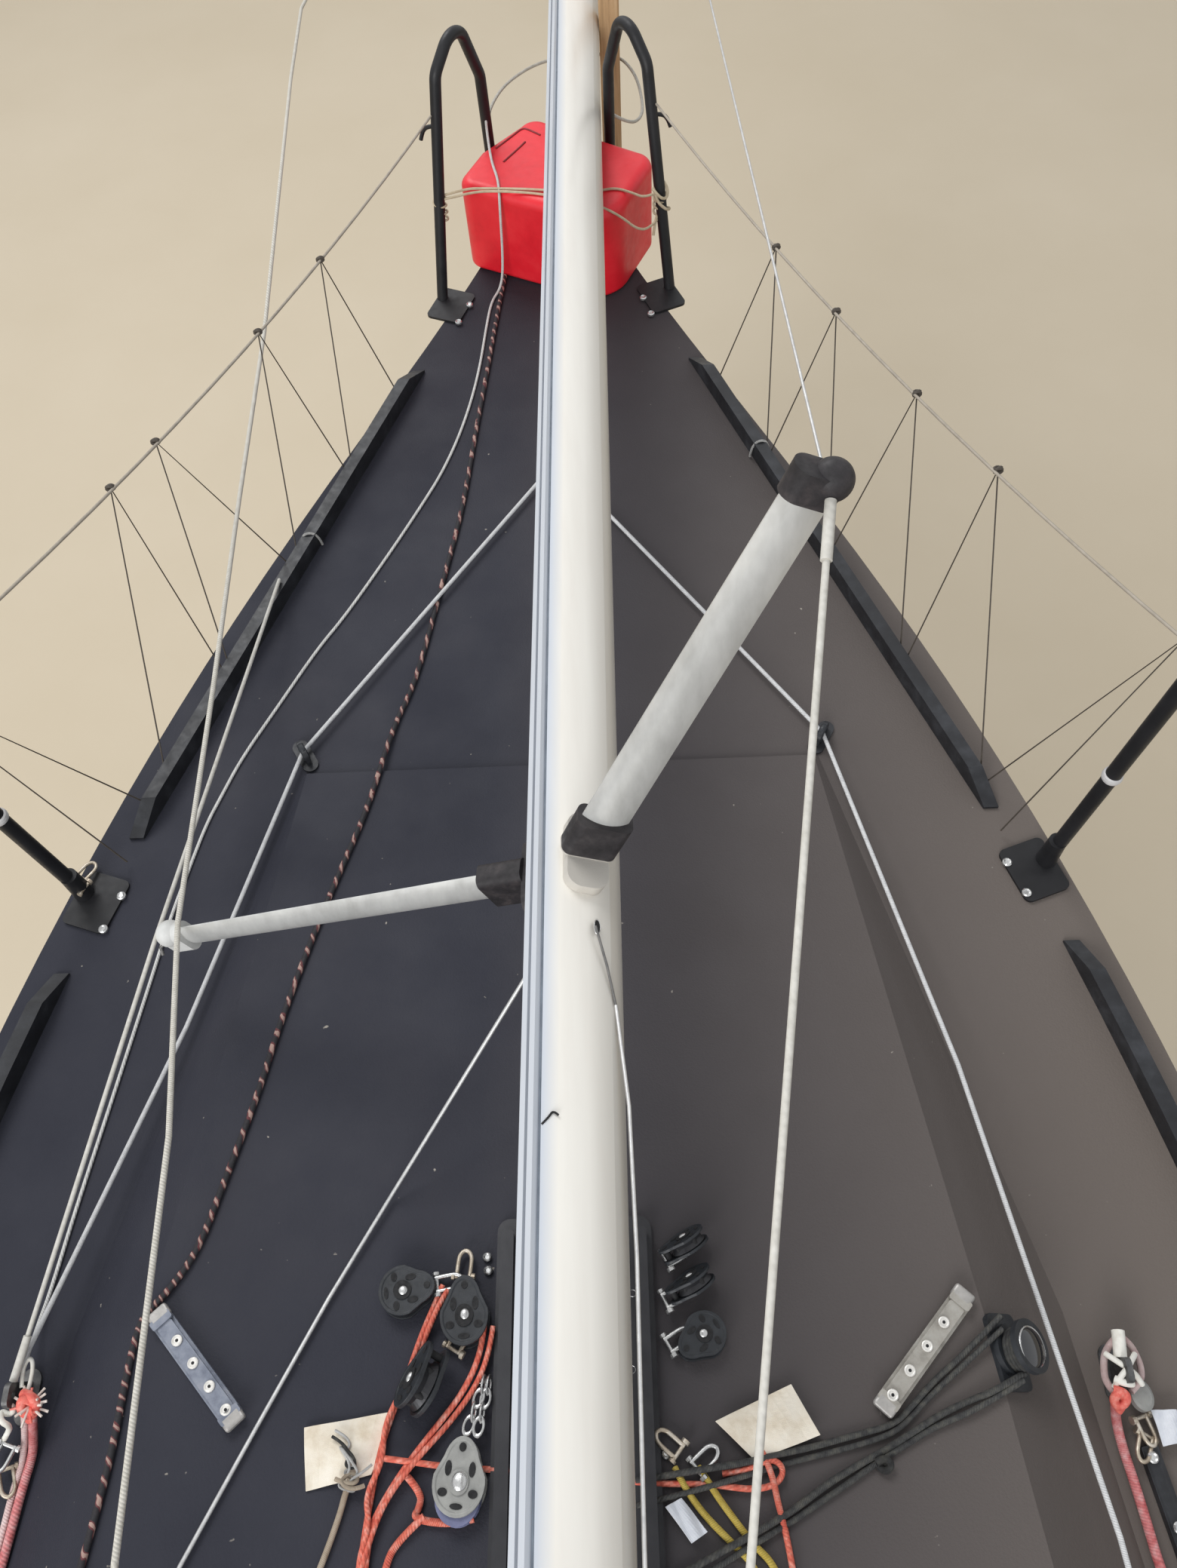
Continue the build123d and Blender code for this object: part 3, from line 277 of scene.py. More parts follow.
def rope(name, stops, thickness, straight=False):
    """A round line along its stops, smooth or, where it is taut, straight from stop to stop."""
    line = fresh(bpy.ops.curve.primitive_nurbs_path_add)
    line.name = name
    curve = line.data
    curve.splines.clear()
    run = curve.splines.new("POLY" if straight else "NURBS")
    run.points.add(len(stops) - 1)
    for point, stop in zip(run.points, stops):
        point.co = (*stop, 1)
    if not straight:
        run.order_u = 3
        run.use_endpoint_u = True
        run.resolution_u = 8
    bare = line.evaluated_get(bpy.context.evaluated_depsgraph_get())
    middle_lines[name] = [v.co.copy() for v in bpy.data.meshes.new_from_object(bare).vertices]
    curve.bevel_depth = thickness / 2
    curve.bevel_resolution = 3
    curve.use_fill_caps = True
    bpy.ops.object.convert(target="MESH")
    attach(line, "boat")
    return line


def drawn_length(name):
    """Length of a rope along its middle line."""
    points = middle_lines[name]
    return sum((b - a).length for a, b in zip(points, points[1:]))


halyard_spots = metres([
    (-121, 2736), (-128, 2686), (-142, 2560), (-156, 2422), (-180, 2203), (-199, 2001),
    (-239, 1775), (-275, 1567), (-314, 1462), (-343, 1286), (-383, 1140), (-413, 1019), (-444, 876),
    (-463, 751), (-493, 620), (-514, 525), (-550.3, 466.6), (-579.9, 441.2), (-583, 360),
    (-581, 280), (-591, 160), (-612, -20), (-622, -220), (-612, -430), (-570, -600), (-543, -640)
])
halyard = rope("halyard_flecked", resting(halyard_spots, 0.010), 0.010)
print("flecked halyard", round(drawn_length("halyard_flecked"), 3), "m")

guy_start = above_all([
    (-141, 2945, 300), (-141, 2925, 262), (-137, 2890, 232), (-130, 2840, 225.5),
    (-117, 2787, 225.5), (-113, 2752, 225.5), (-112, 2726, 214), (-114, 2716, 170),
    (-118, 2712, 90), (-124, 2704, 30), (-134, 2688, 4)
])
guy_spots = metres([
    (-152, 2650), (-161, 2580), (-177, 2398), (-207, 2240), (-245, 2115), (-283, 2028),
    (-342, 1902), (-426, 1735), (-474, 1658), (-538, 1526), (-594, 1413), (-623, 1330),
    (-642, 1275), (-662, 1180), (-676, 1110), (-685, 1055), (-697, 970), (-711, 877), (-732, 739),
    (-753, 604), (-768, 490)
])
guy_end = above_all([
    (-774, 440, 12), (-772, 400, 30)
])
guy = rope("rope_white", guy_start + resting(guy_spots, 0.006) + guy_end, 0.006)
print("white rope", round(drawn_length("rope_white"), 3), "m")

# %% [markdown]
# ## Floor, lamps and sky
#
# A plain pale floor carries the scene. The light is soft, as on an overcast day: one large
# lamp high above the bow for the gentle highlights along the mast, a stronger one from
# aft on the port side, and an even sky that fills the shadows. The sky is white where the
# camera or a mirror sees it, and weaker where it lights the boat, so the colours stay as they
# were mixed. Sky and finishes are both mixed by nodes that pass values on, so a helper comes
# first that adds a node and fills its inputs.

# %% A helper for nodes, the floor, the lamps and the sky
def plug(node, inputs):
    """Fills inputs of a shader node: a socket is linked, anything else is set as a value."""
    for key, value in inputs.items():
        if isinstance(value, bpy.types.NodeSocket):
            node.id_data.links.new(value, node.inputs[key])
        else:
            node.inputs[key].default_value = value


def add_node(tree, kind, inputs, **settings):
    """Adds a shader node with its settings and fills its inputs."""
    node = tree.nodes.new("ShaderNode" + kind)
    for setting, value in settings.items():
        setattr(node, setting, value)
    plug(node, inputs)
    return node


def soft_lamp(name, spot, target, size, power):
    """A square lamp at a spot, facing a target."""
    lamp = fresh(bpy.ops.object.light_add, type="AREA", location=spot)
    lamp.name = name
    lamp.data.shape = "SQUARE"
    lamp.data.size = size
    lamp.data.energy = power
    lamp.rotation_euler = (Vector(target) - Vector(spot)).to_track_quat("-Z", "Y").to_euler()


ground = fresh(bpy.ops.mesh.primitive_plane_add, size=160)
ground.name = "floor"
soft_lamp("lamp_bow", (-3.0, 7.5, 10.5), (0, 1.0, 2.4), 5.0, 540)
soft_lamp("lamp_quarter", (-3.6, -7.5, 7.4), (0, 2.0, 2.4), 6.0, 800)

sky = bpy.data.worlds.new("sky")
bpy.context.scene.world = sky
sky.use_nodes = True
sky_tree = sky.node_tree
sky_light = sky_tree.nodes["Background"]
plug(sky_light, {"Color": (0.93, 0.96, 1.0, 1), "Strength": 0.55})
sky_seen = add_node(sky_tree, "Background", {"Color": (0.95, 0.96, 0.97, 1)})
rays = add_node(sky_tree, "LightPath", {}).outputs
either = add_node(sky_tree, "Math", {0: rays["Is Camera Ray"], 1: rays["Is Glossy Ray"]},
                  operation="MAXIMUM")
any_view = add_node(sky_tree, "Math", {0: either.outputs[0], 1: rays["Is Transmission Ray"]},
                    operation="MAXIMUM")
pick_sky = add_node(sky_tree, "MixShader", {0: any_view.outputs[0], 1: sky_light.outputs[0],
                                            2: sky_seen.outputs[0]})
plug(sky_tree.nodes["World Output"], {"Surface": pick_sky.outputs[0]})
bpy.context.scene.view_settings.view_transform = "Standard"
print("lamps 2, sky", round(sky_light.inputs["Strength"].default_value, 2))

# %% [markdown]
# ## How a finish is mixed
#
# A surface that has been used for years is never one colour. Each finish here is mixed from
# three textures that all live in the boat's own coordinates: a slow one that shifts the colour
# in patches, a second that makes some places duller than others, and a fine one that gives the
# grain you would feel with a fingertip. Stretching the coordinates turns patches into streaks.

# %% Helpers for finishes
def ramp(tree, factor, stops, **settings):
    """A colour ramp over a factor, with a colour at each of its stops."""
    made = add_node(tree, "ValToRGB", {"Fac": factor}, **settings)
    while len(made.color_ramp.elements) < len(stops):
        made.color_ramp.elements.new(0.5)
    for element, (position, colour) in zip(made.color_ramp.elements, stops):
        element.position = position
        element.color = (*colour, 1)
    return made


def finish(name, tones, patch=5.0, gloss=(0.4, 0.6), metal=0.0, grain=500.0, bump=0.2,
           stretch=(1, 1, 1), coat=0.0, shine=0.5):
    """A worn surface: tones in patches, varied gloss and a fine grain."""
    material = bpy.data.materials.new(name)
    material.use_nodes = True
    tree = material.node_tree
    where = add_node(tree, "TexCoord", {}).outputs["Object"]
    drawn = add_node(tree, "Mapping", {"Scale": stretch, "Vector": where}).outputs[0]
    mottle = add_node(tree, "TexNoise", {"Scale": patch, "Detail": 7.0, "Roughness": 0.62,
                                         "Vector": drawn})
    last = len(tones) - 1
    mix = ramp(tree, mottle.outputs["Fac"],
               [(0.3 + 0.4 * number / last, colour) for number, colour in enumerate(tones)],
               name="tones")
    wear = add_node(tree, "TexNoise", {"Scale": patch * 3.7, "Detail": 4.0, "Vector": drawn})
    dull = add_node(tree, "MapRange", {"From Min": 0.3, "From Max": 0.7, "To Min": gloss[0],
                                       "To Max": gloss[1], "Value": wear.outputs["Fac"]})
    tooth = add_node(tree, "TexNoise", {"Scale": grain, "Detail": 3.0, "Vector": where})
    relief = add_node(tree, "Bump", {"Strength": bump, "Distance": 0.001,
                                     "Height": tooth.outputs["Fac"]}, name="relief")
    plug(tree.nodes["Principled BSDF"], {
        "Metallic": metal, "Coat Weight": coat, "Specular IOR Level": shine,
        "Base Color": mix.outputs["Color"], "Roughness": dull.outputs["Result"],
        "Normal": relief.outputs["Normal"]})
    return material


def cover(material, factor, colour):
    """Mixes a second colour over a finish, as much as the factor says."""
    shader = material.node_tree.nodes["Principled BSDF"]
    under = shader.inputs["Base Color"].links[0].from_socket
    over = add_node(material.node_tree, "Mix", {"Factor": factor, "A": under, "B": (*colour, 1)},
                    data_type="RGBA")
    plug(shader, {"Base Color": over.outputs["Result"]})


def blend_across(material, way, start, end, colour, share=1.0, about=(0, 0, 0)):
    """Lays a second colour over a finish, fading in along a direction measured from a point."""
    tree = material.node_tree
    where = add_node(tree, "TexCoord", {}).outputs["Object"]
    reach = add_node(tree, "VectorMath", {0: where, 1: way}, operation="DOT_PRODUCT")
    base = Vector(way).dot(Vector(about))
    fade = add_node(tree, "MapRange", {"From Min": base + start, "From Max": base + end,
                                       "To Max": share, "Value": reach.outputs["Value"]})
    cover(material, fade.outputs["Result"], colour)


# %% [markdown]
# ## The deck and the coachroof
#
# The non-slip is charcoal with a bluish tone that is painted sky reflection, and it turns
# lighter and browner towards starboard, partly with dust and partly as painted light. Its grip
# comes from thousands of small raised dots, which are too fine to model, so a cell texture
# stands in for them in the bump. The same paint runs over the coachroof.

# %% Deck finish
nonslip = finish(
    "deck_nonslip", [(0.026, 0.027, 0.037), (0.033, 0.034, 0.045), (0.04, 0.04, 0.05)], patch=2.2,
    gloss=(0.55, 0.72), grain=900, bump=0.3, shine=0.16)
to_starboard, to_bow, upwards = (1, 0, 0), (0, 1, 0), (0, 0, 1)
# the bluish base tones are painted sky reflection; the lighter brown towards starboard is dust and
# painted light together
blend_across(nonslip, to_starboard, -0.12, 1.0, (0.164, 0.138, 0.120))
blend_across(nonslip, to_bow, 1.9, 3.0, (0.020, 0.016, 0.020), 0.7)
blend_across(nonslip, to_bow, -0.3, -1.8, (0.052, 0.048, 0.050), 0.85)
deck_tree = nonslip.node_tree
deck_place = add_node(deck_tree, "TexCoord", {}).outputs["Object"]
dots = add_node(deck_tree, "TexVoronoi", {"Scale": 260.0, "Vector": deck_place})
dot_relief = add_node(deck_tree, "Bump", {
    "Strength": 0.35, "Distance": 0.0008, "Height": dots.outputs["Distance"],
    "Normal": deck_tree.nodes["relief"].outputs["Normal"]}, invert=True)
plug(deck_tree.nodes["Principled BSDF"], {"Normal": dot_relief.outputs["Normal"]})
# a few pale specks of dirt lie on the deck where the noise is highest
specks = add_node(deck_tree, "TexNoise", {"Scale": 70.0, "Detail": 2.0, "Vector": deck_place})
rare = add_node(deck_tree, "MapRange", {"From Min": 0.765, "From Max": 0.81,
                                        "Value": specks.outputs["Fac"]})
cover(nonslip, rare.outputs["Result"], (0.34, 0.31, 0.27))
print("deck nodes", len(deck_tree.nodes))

# %% [markdown]
# ## Paint, metal, plastic and wood
#
# The other finishes follow the same recipe with their own numbers. Anodised metal and varnish
# are smooth with slow, stretched streaks; powder coat and cast iron are rougher; wood gets long
# grain by squeezing the coordinates across the plank. The hull has three bands: white topsides,
# a dark line and the bottom paint.

# %% All finishes of the solid parts
hull_paint = finish(
    "hull_gelcoat", [(0.74, 0.75, 0.75), (0.8, 0.81, 0.8), (0.83, 0.84, 0.83)], patch=1.6,
    gloss=(0.12, 0.28), grain=60, bump=0.02, coat=0.5)
line_top, bottom_top, paint_edge = 1.858, 1.802, 0.002
blend_across(hull_paint, upwards, line_top, line_top - paint_edge, (0.035, 0.045, 0.075))
blend_across(hull_paint, upwards, bottom_top, bottom_top - paint_edge, (0.055, 0.062, 0.075))

mast_way = Vector((0.0073, 1, -0.0879)).normalized()
mast_side = mast_way.cross(Vector((0, 0, 1))).normalized()
mast_up = mast_side.cross(mast_way)
mast_middle = above(0.040, 0.26, 0.520)
mast_paint = finish(
    "mast_anodised", [(0.84, 0.8, 0.73), (0.88, 0.845, 0.775), (0.91, 0.88, 0.81)], 6, (0.3, 0.42),
    metal=0.15, grain=1500, bump=0.06, stretch=(4, 0.2, 4))
# painted light on the mast's long edges: blue-grey painted sky reflection and shade along the port
# edge, warm grey painted shade along the starboard edge
blend_across(mast_paint, mast_side, -0.012, -0.030, (0.50, 0.56, 0.66), 0.72, mast_middle)
blend_across(mast_paint, mast_side, 0.022, 0.050, (0.50, 0.47, 0.42), 0.6, mast_middle)

finishes = {
    "hull_gelcoat": hull_paint,
    "deck_nonslip": nonslip,
    "hatch_paint": finish(
        "hatch_paint", [(0.12, 0.125, 0.13), (0.16, 0.165, 0.17)], 4, (0.3, 0.5), grain=700),
    "smoked_acrylic": finish(
        "smoked_acrylic", [(0.012, 0.013, 0.016), (0.022, 0.023, 0.027)], 3, (0.06, 0.16),
        grain=90, bump=0.02, coat=0.6),
    "black_anodised": finish(
        "black_anodised", [(0.02, 0.02, 0.023), (0.034, 0.034, 0.038)], 14, (0.34, 0.52),
        metal=0.4, grain=800, bump=0.1),
    "black_rail": finish(
        "black_rail", [(0.01, 0.01, 0.012), (0.018, 0.019, 0.022), (0.04, 0.042, 0.048)], 18,
        (0.36, 0.55), grain=900, bump=0.15, shine=0.35),
    "black_tube": finish(
        "black_tube", [(0.009, 0.009, 0.01), (0.016, 0.016, 0.018)], 16, (0.38, 0.55), grain=1400,
        bump=0.12, shine=0.3),
    "wire": finish(
        "wire_cover", [(0.3, 0.26, 0.21), (0.42, 0.37, 0.3)], 60, (0.5, 0.7), grain=1500),
    "anodised": finish(
        "track_anodised", [(0.13, 0.145, 0.19), (0.21, 0.23, 0.28), (0.27, 0.28, 0.32)], 45,
        (0.4, 0.6), metal=0.25, grain=1200, bump=0.2),
    "mast_anodised": mast_paint,
    "boot": finish(
        "boot_pale", [(0.56, 0.56, 0.54), (0.68, 0.68, 0.66)], 40, (0.5, 0.7), grain=900),
    "steel": finish(
        "fitting_steel", [(0.42, 0.42, 0.42), (0.6, 0.6, 0.59)], 45, (0.2, 0.4), metal=0.9,
        grain=900, bump=0.08),
    "chrome": finish(
        "winch_chrome", [(0.62, 0.62, 0.63), (0.74, 0.74, 0.75)], 20, (0.08, 0.2), metal=1.0,
        grain=500, bump=0.04),
    "block_plastic": finish(
        "block_plastic", [(0.014, 0.016, 0.019), (0.03, 0.033, 0.038)], 50, (0.38, 0.55),
        grain=1100, bump=0.15, shine=0.35),
    "can_red": finish(
        "can_red", [(0.7, 0.009, 0.02), (0.79, 0.014, 0.027), (0.83, 0.027, 0.038)], 14,
        (0.36, 0.5), grain=420, bump=0.3),
    "timber": finish(
        "weathered_timber", [(0.33, 0.2, 0.1), (0.46, 0.29, 0.15), (0.55, 0.38, 0.22)], 5,
        (0.6, 0.8), grain=300, bump=0.4, stretch=(22, 22, 1.2)),
    "keel_iron": finish(
        "keel_iron", [(0.05, 0.055, 0.065), (0.085, 0.09, 0.1), (0.13, 0.1, 0.08)], 7, (0.5, 0.75),
        metal=0.2, grain=180, bump=0.35),
    "rudder_gelcoat": finish(
        "rudder_gelcoat", [(0.76, 0.77, 0.76), (0.84, 0.85, 0.84)], 2, (0.14, 0.3), grain=60,
        bump=0.02, coat=0.5),
    "tiller_wood": finish(
        "tiller_varnish", [(0.2, 0.08, 0.03), (0.34, 0.15, 0.06), (0.42, 0.21, 0.09)], 6,
        (0.1, 0.22), grain=200, bump=0.06, stretch=(30, 1.5, 30), coat=0.7),
    "cradle_steel": finish(
        "cradle_paint", [(0.17, 0.2, 0.23), (0.24, 0.27, 0.3), (0.3, 0.24, 0.19)], 6, (0.45, 0.7),
        metal=0.3, grain=260, bump=0.3),
    "pad_rubber": finish(
        "pad_rubber", [(0.028, 0.028, 0.03), (0.055, 0.053, 0.05)], 12, (0.7, 0.9), grain=500,
        bump=0.4),
}
floor_paint = finish(
    "floor_plain", [(0.6, 0.51, 0.375), (0.64, 0.55, 0.415)], 0.5, (0.8, 0.95), grain=90,
    bump=0.05)
ground.data.materials.append(floor_paint)
print("finishes", len(finishes))

# %% [markdown]
# ## Dressing the solid parts
#
# The record says which finish each solid part takes, so the parts are dressed by going down
# that list. The beam and the keel block are planks that lie across or along the boat, so they
# get wood of their own, with the grain along their own length. The two shrouds are laid rope.

# %% Give every solid part its finish
timber_across = finish(
    "timber_beam", [(0.26, 0.17, 0.1), (0.38, 0.26, 0.15), (0.46, 0.33, 0.2)], 5, (0.6, 0.8),
    grain=300, bump=0.4, stretch=(1.2, 22, 22))
timber_along = finish(
    "timber_keel", [(0.24, 0.17, 0.11), (0.34, 0.25, 0.16), (0.42, 0.32, 0.22)], 5, (0.65, 0.85),
    grain=300, bump=0.4, stretch=(22, 1.2, 22))
laid_rope = finish(
    "shroud_rope", [(0.5, 0.48, 0.43), (0.64, 0.62, 0.57)], 70, (0.6, 0.8), grain=1500)
lay_tree = laid_rope.node_tree
strand_place = add_node(lay_tree, "TexCoord", {}).outputs["Object"]
strands = add_node(lay_tree, "TexWave", {"Scale": 52.0, "Vector": strand_place},
                   bands_direction="DIAGONAL")
groove = add_node(lay_tree, "Bump", {"Strength": 0.35, "Distance": 0.0008,
                                     "Height": strands.outputs["Fac"]})
plug(lay_tree.nodes["Principled BSDF"], {"Normal": groove.outputs["Normal"]})
spreader_metal = finish(
    "spreader_anodised", [(0.5, 0.5, 0.48), (0.6, 0.6, 0.58), (0.69, 0.69, 0.66)], 12, (0.3, 0.45),
    metal=0.3, grain=1500, bump=0.06, stretch=(2, 2, 0.6))
black_boot = finish(
    "boot_black", [(0.012, 0.011, 0.012), (0.026, 0.023, 0.025), (0.06, 0.05, 0.05)], 40,
    (0.5, 0.7), grain=900, shine=0.35)
two_tone = finish(
    "bracket_two_tone", [(0.012, 0.011, 0.012), (0.026, 0.023, 0.025), (0.05, 0.045, 0.045)], 40,
    (0.5, 0.7), grain=900, shine=0.35)
# dark steel for both chainplates; on the port side this darkness is painted shade round the knot
chain_steel = finish(
    "chainplate_dark", [(0.05, 0.05, 0.052), (0.1, 0.1, 0.1), (0.17, 0.165, 0.16)], 60, (0.4, 0.6),
    metal=0.5, grain=900, bump=0.2)
# a lighter, warmer copy of the track finish for the starboard jib track: painted light on that side
warm_track = finish(
    "track_warm", [(0.22, 0.205, 0.18), (0.33, 0.31, 0.275), (0.4, 0.385, 0.35)], 45, (0.4, 0.6),
    metal=0.25, grain=1200, bump=0.2)


def round_mast(degrees):
    """Direction square to the mast, turned from its side towards its upper face."""
    turn = math.radians(degrees)
    return mast_side * math.cos(turn) + mast_up * math.sin(turn)


spreader_root, spreader_turn = above(0.0449, 0.937, 0.4605), 67.2
blend_across(two_tone, round_mast(spreader_turn), 0.0635, 0.0620, (0.52, 0.49, 0.44), 1.0,
             spreader_root)
own_finish = {
    "spreader_upper": spreader_metal, "spreader_lower": spreader_metal,
    "chainplate_port": chain_steel, "chainplate_starboard": chain_steel,
    "jib_track_starboard": warm_track, "spreader_bracket_upper": two_tone,
    "spreader_bracket_lower": black_boot, "spreader_boot_upper": black_boot,
    "padeye_port": finishes["black_rail"], "padeye_starboard": finishes["black_rail"],
    "mast_crutch": timber_across, "keel_timber": timber_along,
    "shroud_port": laid_rope, "shroud_starboard": laid_rope}

for row in frame["record"]["subparts"]:
    part = frame["nodes"][row["node"]]
    chosen = own_finish.get(row["node"], finishes[row["material_slot"]])
    if not part.material_slots:
        part.data.materials.append(chosen)
    for place in part.material_slots:
        place.material = chosen


def dress(piece, material):
    """Gives a piece one finish."""
    piece.data.materials.clear()
    piece.data.materials.append(material)
    return piece


# %% [markdown]
# ## Rope finishes
#
# A curve's texture coordinates run along the rope in one direction and round it in the other.
# Adding the two gives a line that winds round the rope like a strand, so a repeating ramp over
# that sum is a three-strand lay, with its grooves in the bump. A braided rope has flecks
# instead, where coloured yarns come to the surface.

# %% A helper for laid and flecked rope
def rope_finish(name, tones, length, pitch=0.018, strand_count=3, flecks=()):
    """Strands that wind once round the rope in each pitch, or flecks of other yarns."""
    material = finish(name, tones, 90, (0.65, 0.85), grain=2200, bump=0.3)
    tree = material.node_tree

    def sums(operation, *values):
        """One step of arithmetic on values or sockets."""
        return add_node(tree, "Math", dict(enumerate(values)), operation=operation).outputs[0]

    where = add_node(tree, "TexCoord", {}).outputs
    along, across = add_node(tree, "SeparateXYZ", {0: where["UV"]}).outputs[:2]
    turns = sums("MULTIPLY", along, round(length / pitch * strand_count))
    wound = sums("MULTIPLY_ADD", across, strand_count, turns)
    strand = sums("PINGPONG", wound, 0.5)
    hollow = add_node(tree, "Bump", {"Strength": 0.9, "Distance": 0.0012, "Height": strand})
    if flecks:
        stray = add_node(tree, "TexNoise", {"Scale": 46.0, "Vector": where["Object"]})
        turn = sums("FRACT", sums("ADD", wound, stray.outputs["Fac"]))
        colour = ramp(tree, turn, flecks)
        colour.color_ramp.interpolation = "CONSTANT"
        colour = colour.outputs["Color"]
    else:
        # the hollows between the strands are a little darker: painted shade in the grooves of the
        # lay
        strand_shade = add_node(tree, "MapRange", {"From Max": 0.34, "To Min": 0.74, "Value": strand})
        colour = add_node(tree, "VectorMath", {
            0: tree.nodes["tones"].outputs["Color"], "Scale": strand_shade.outputs["Result"]},
            operation="SCALE").outputs["Vector"]
    plug(tree.nodes["Principled BSDF"], {"Normal": hollow.outputs["Normal"], "Base Color": colour})
    return material


white_rope = rope_finish("rope_white", [(0.56, 0.55, 0.53), (0.74, 0.73, 0.7)], 2.9)
fleck_dark, fleck_red = (0.012, 0.011, 0.014), (0.11, 0.028, 0.030)
flecked_rope = rope_finish(
    "rope_flecked", [fleck_dark, fleck_red], 3.45, pitch=0.03, strand_count=1,
    flecks=[(0.0, fleck_dark), (0.4, fleck_red), (0.5, (0.4, 0.26, 0.22)),
            (0.7, (0.12, 0.03, 0.034)), (0.8, (0.016, 0.013, 0.016))])
dress(halyard, flecked_rope)
dress(guy, white_rope)
print("rope finishes on", halyard.name, "and", guy.name)

# %% [markdown]
# ## The tight lines over the foredeck
#
# The stays were let go at the mast but not taken off the boat, so they cross the foredeck in
# every direction. A taut line is straight from fitting to fitting, and its few bends are where
# it passes over or through something. The long pale stay and the grey tack line are the most
# visible; the others are thin wires.

# %% Taut lines
grey_line = rope_finish("line_grey", [(0.62, 0.62, 0.625), (0.8, 0.8, 0.795)], 6.0)
cream_rope = rope_finish("rope_cream", [(0.56, 0.53, 0.46), (0.7, 0.67, 0.6)], 8.0)
dark_line = finish(
    "line_dark", [(0.045, 0.036, 0.028), (0.08, 0.066, 0.052)], 90, (0.6, 0.8), grain=1800)
bright_wire = finish(
    "wire_bright", [(0.5, 0.5, 0.5), (0.66, 0.66, 0.65)], 80, (0.3, 0.45), metal=0.7, grain=1800)
shaded_wire = finish(
    "wire_shaded", [(0.1, 0.1, 0.1), (0.22, 0.21, 0.2)], 80, (0.4, 0.6), metal=0.3, grain=1800)
cream_lashing = rope_finish(
    "lashing_cream", [(0.58, 0.46, 0.3), (0.74, 0.62, 0.44)], 1.0, pitch=0.012)


def lines(material, rows, straight=True):
    """One line for each row: a name, a thickness and its stops above the deck, in millimetres."""
    for name, thickness, stops in rows:
        dress(rope(name, above_all(stops), thickness / 1000, straight), material)
    print("lines:", ", ".join(row[0] for row in rows))


lines(grey_line, [
    ("tack_line_port", 7.8, [
        (-772, 368, 58), (-615, 890, 21), (-476, 1413, 16), (0, 2120, 12)]),
    ("tack_line_starboard", 7.8, [
        (0, 2120, 12), (486, 1411, 16), (620, 780, 45), (697, 161, 125), (720, -350, 190),
        (750, -880, 250)]),
])
lines(cream_rope, [
    ("stay_cream", 8.8, [
        (-30, 5580, 135), (-350, 4750, 160), (-570, 4100, 180), (-655, 3600, 190),
        (-645, 3266, 200), (-598, 2325, 215), (-588, 1846, 225), (-571, 1400, 243),
        (-562, 975, 254), (-508, 644, 300), (-484, 167, 330), (-300, -1200, 500),
        (-45, -2600, 735)]),
])
lines(bright_wire, [
    ("mast_line_port", 6.2, [
        (-20, 863, 315), (-241, 595, 112), (-317, 458, 124), (-393, 305, 141), (-467, 151, 160),
        (-620, -350, 215)]),
    ("mast_wire_starboard", 5, [
        (98, 741, 492), (110, 616, 500), (113, 450, 510), (110, 160, 535), (85, -1400, 670)]),
    ("cap_wire", 3.5, [
        (315, 1030, 1068), (300, 2600, 780), (75, 5600, 100)]),
])
lines(shaded_wire, [
    ("mast_wire_upper", 3.4, [
        (76, 838, 513), (88.5, 790, 502), (98, 741, 492)]),
    ("tip_hook", 5.5, [
        (-580, 962, 205), (-596, 966, 203), (-606, 958, 197), (-603, 948, 190)]),
])

# %% [markdown]
# The mast's groove for the sail runs along its aft face, which is turned up and to port as she
# lies. Two fine dark lines along its edges are painted shade in the groove.

# %% Edges of the mast's groove
# dark lines of painted shade in the mast's sail groove
groove_shade_lines = finish(
    "track_groove", [(0.1, 0.12, 0.15), (0.17, 0.2, 0.24)], 30, (0.5, 0.7), grain=900)
mast_roll, groove_reach = 134.5, 0.0612
mast_aft = round_mast(mast_roll)
mast_across = mast_way.cross(mast_aft)
for number, shift in enumerate((-0.0135, 0.0135), 1):
    ends = [mast_middle + mast_way * reach + mast_aft * groove_reach + mast_across * shift
            for reach in (-4.80, 5.38)]
    dress(rope(f"mast_track_groove_{number}", ends, 0.0030, straight=True), groove_shade_lines)
print("groove edges 2")

# %% [markdown]
# ## The thin lacing below the lifelines
#
# A dark line zigzags between the rail and the lifeline to keep a lowered sail on board. It is
# knotted at each point where it turns. The knot is three small rings turned against each other,
# which from a step away is just what a tight overhand knot looks like.

# %% Lacing and its knots
knot = ring(0.0060, 0.0027, 14, 7)
bpy.ops.object.mode_set(mode="EDIT")
for turn_axis in ("X", "Y"):
    bpy.ops.mesh.duplicate()
    bpy.ops.transform.rotate(value=math.radians(62), orient_axis=turn_axis,
                             center_override=(0, 0, 0))
bpy.ops.object.mode_set(mode="OBJECT")
dress(knot, dark_line)

